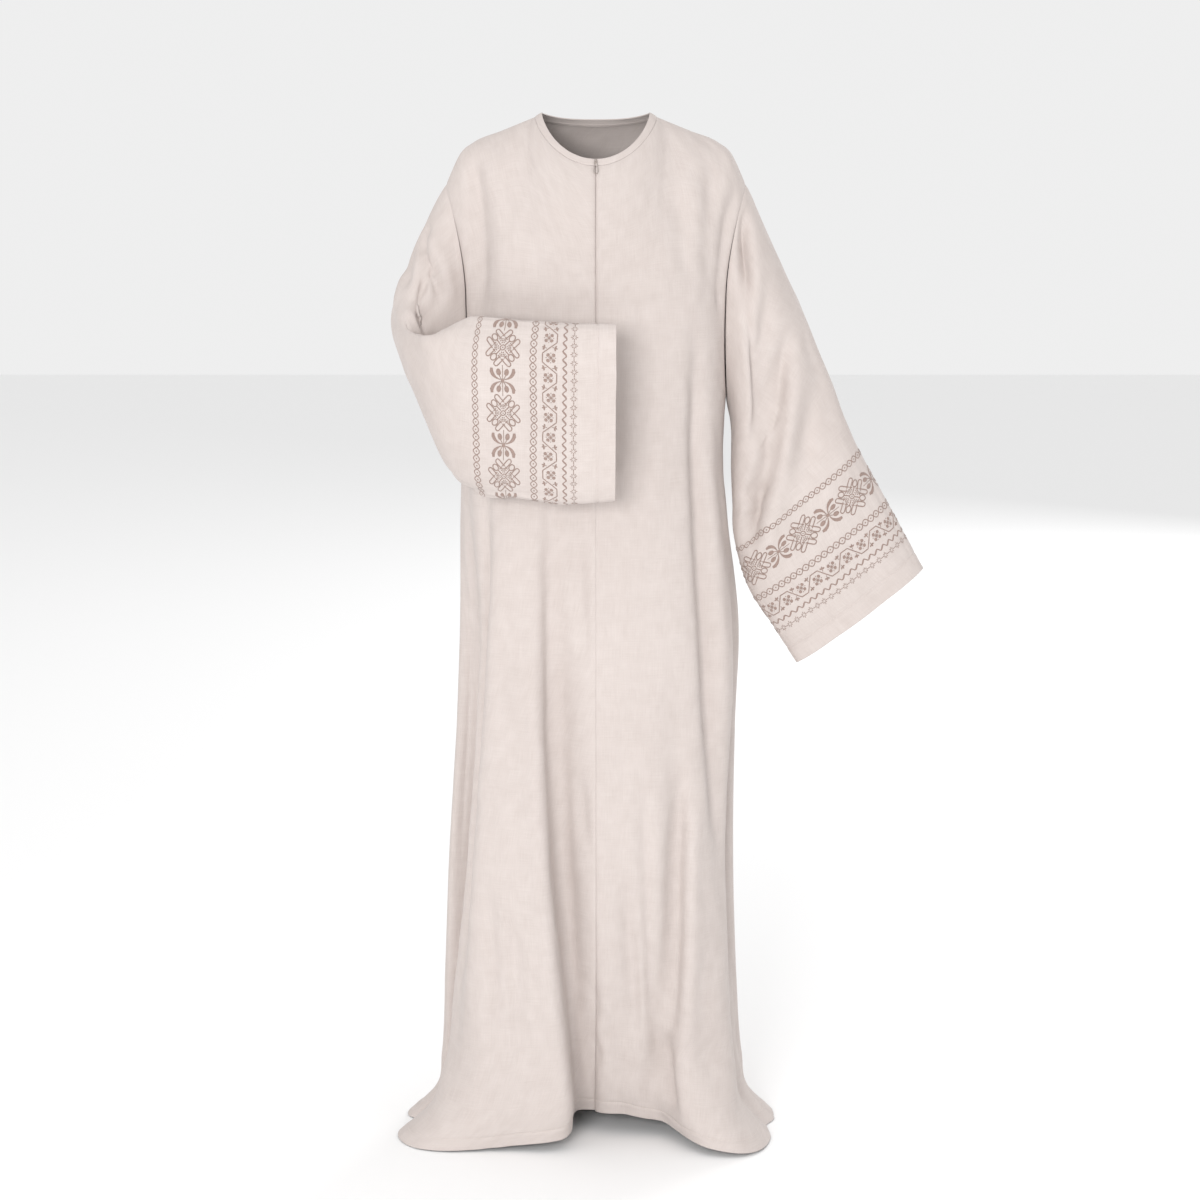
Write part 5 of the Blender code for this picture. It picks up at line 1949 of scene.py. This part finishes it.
CUTS = {
    "front_left": Cut((0.40, 1.47), 0.40, ("back", "neck_band")),
    "front_right": Cut((0.40, 1.47), 0.42, ("back", "neck_band")),
    "back": Cut((0.80, 1.46), 0.75, ("front_left", "front_right")),
    "sleeve_left": Cut((0.54, 0.55), 0.24, ("front_left", "back")),
    "sleeve_right": Cut((0.54, 0.55), 0.24, ("front_right", "back")),
    "neck_band": Cut((0.44, 0.0135), None, ("front_left", "back")),
}


class Robe:
    """The whole robe, piece by piece."""

    def place(
        self,
        item: bpy.types.Object,
        slot: str,
        body: str = GARMENT,
        node: Optional[str] = None,
    ) -> None:
        """Makes a piece ride on its body and hides the solid it stands for."""
        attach(item, body)
        if node is not None:
            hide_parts(node)

    def hem_stitches(self, pieces: Sequence[ClothPiece], finish: bpy.types.Material) -> None:
        """Stitch lines of the body's hem and of both cuffs."""
        for piece in pieces:
            line, normals = row_at(piece.grid, piece.closed, piece.hem_depth)
            stitches = StitchRow().build(piece.name + "_hem_stitches", line, normals, finish)
            self.place(stitches, "linen")

    def build(self) -> None:
        """Builds and dresses every piece."""
        linen = LINEN.build()
        sewing = SEWING_THREAD.build()
        thread = EMBROIDERY_THREAD.build()
        bodice = Bodice()
        left, right = bodice.fronts()
        back = bodice.back()
        hanging = Sleeve(
            Side.LEFT, HANGING_RINGS, HANGING_CREASES, HANGING_WRINKLES, HANGING_FRONT_CREASES, 14
        )
        bent = Sleeve(
            Side.RIGHT, BENT_RINGS, BENT_CREASES, BENT_WRINKLES, BENT_FRONT_CREASES, 15
        )
        sleeve_left, sleeve_right = hanging.piece(), bent.piece()
        items = {}
        for piece in (left, right, back, sleeve_left, sleeve_right, NeckBand().piece(neckline())):
            items[piece.name] = piece.build(linen)
            self.place(items[piece.name], "linen", GARMENT, piece.name)
        for name, cut in CUTS.items():
            carriers = [items[carrier].name for carrier in cut.rests_on]
        self.hem_stitches((left, right, back, sleeve_left, sleeve_right), sewing)
        bands = SleeveEmbroidery()
        for name, sleeve, cloth, shift in (
            ("embroidery_left", hanging, sleeve_left, -0.013),
            ("embroidery_right", bent, sleeve_right, 0.0),
        ):
            item = bands.build(name, sleeve.chart(cloth), shift, thread)
            self.place(item, "linen")
        for item in HiddenZip().build(left, bodice.zip_end):
            self.place(item, "zip_metal" if item.name == "zip_teeth" else "linen")
        metal = METAL.build()
        for name in ("zip_slider", "zip_pull"):
            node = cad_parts[name]
            node.data.materials.clear()
            node.data.materials.append(metal)
            node.data.shade_smooth()
            LOG.info("%s: CAD solid kept, new finish", name)


def main() -> None:
    """Builds the studio and the robe."""
    logging.basicConfig(level=logging.INFO, format="%(name)s: %(message)s")
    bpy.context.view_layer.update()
    Studio().build()
    Robe().build()


if __name__ == "__main__":
    main()
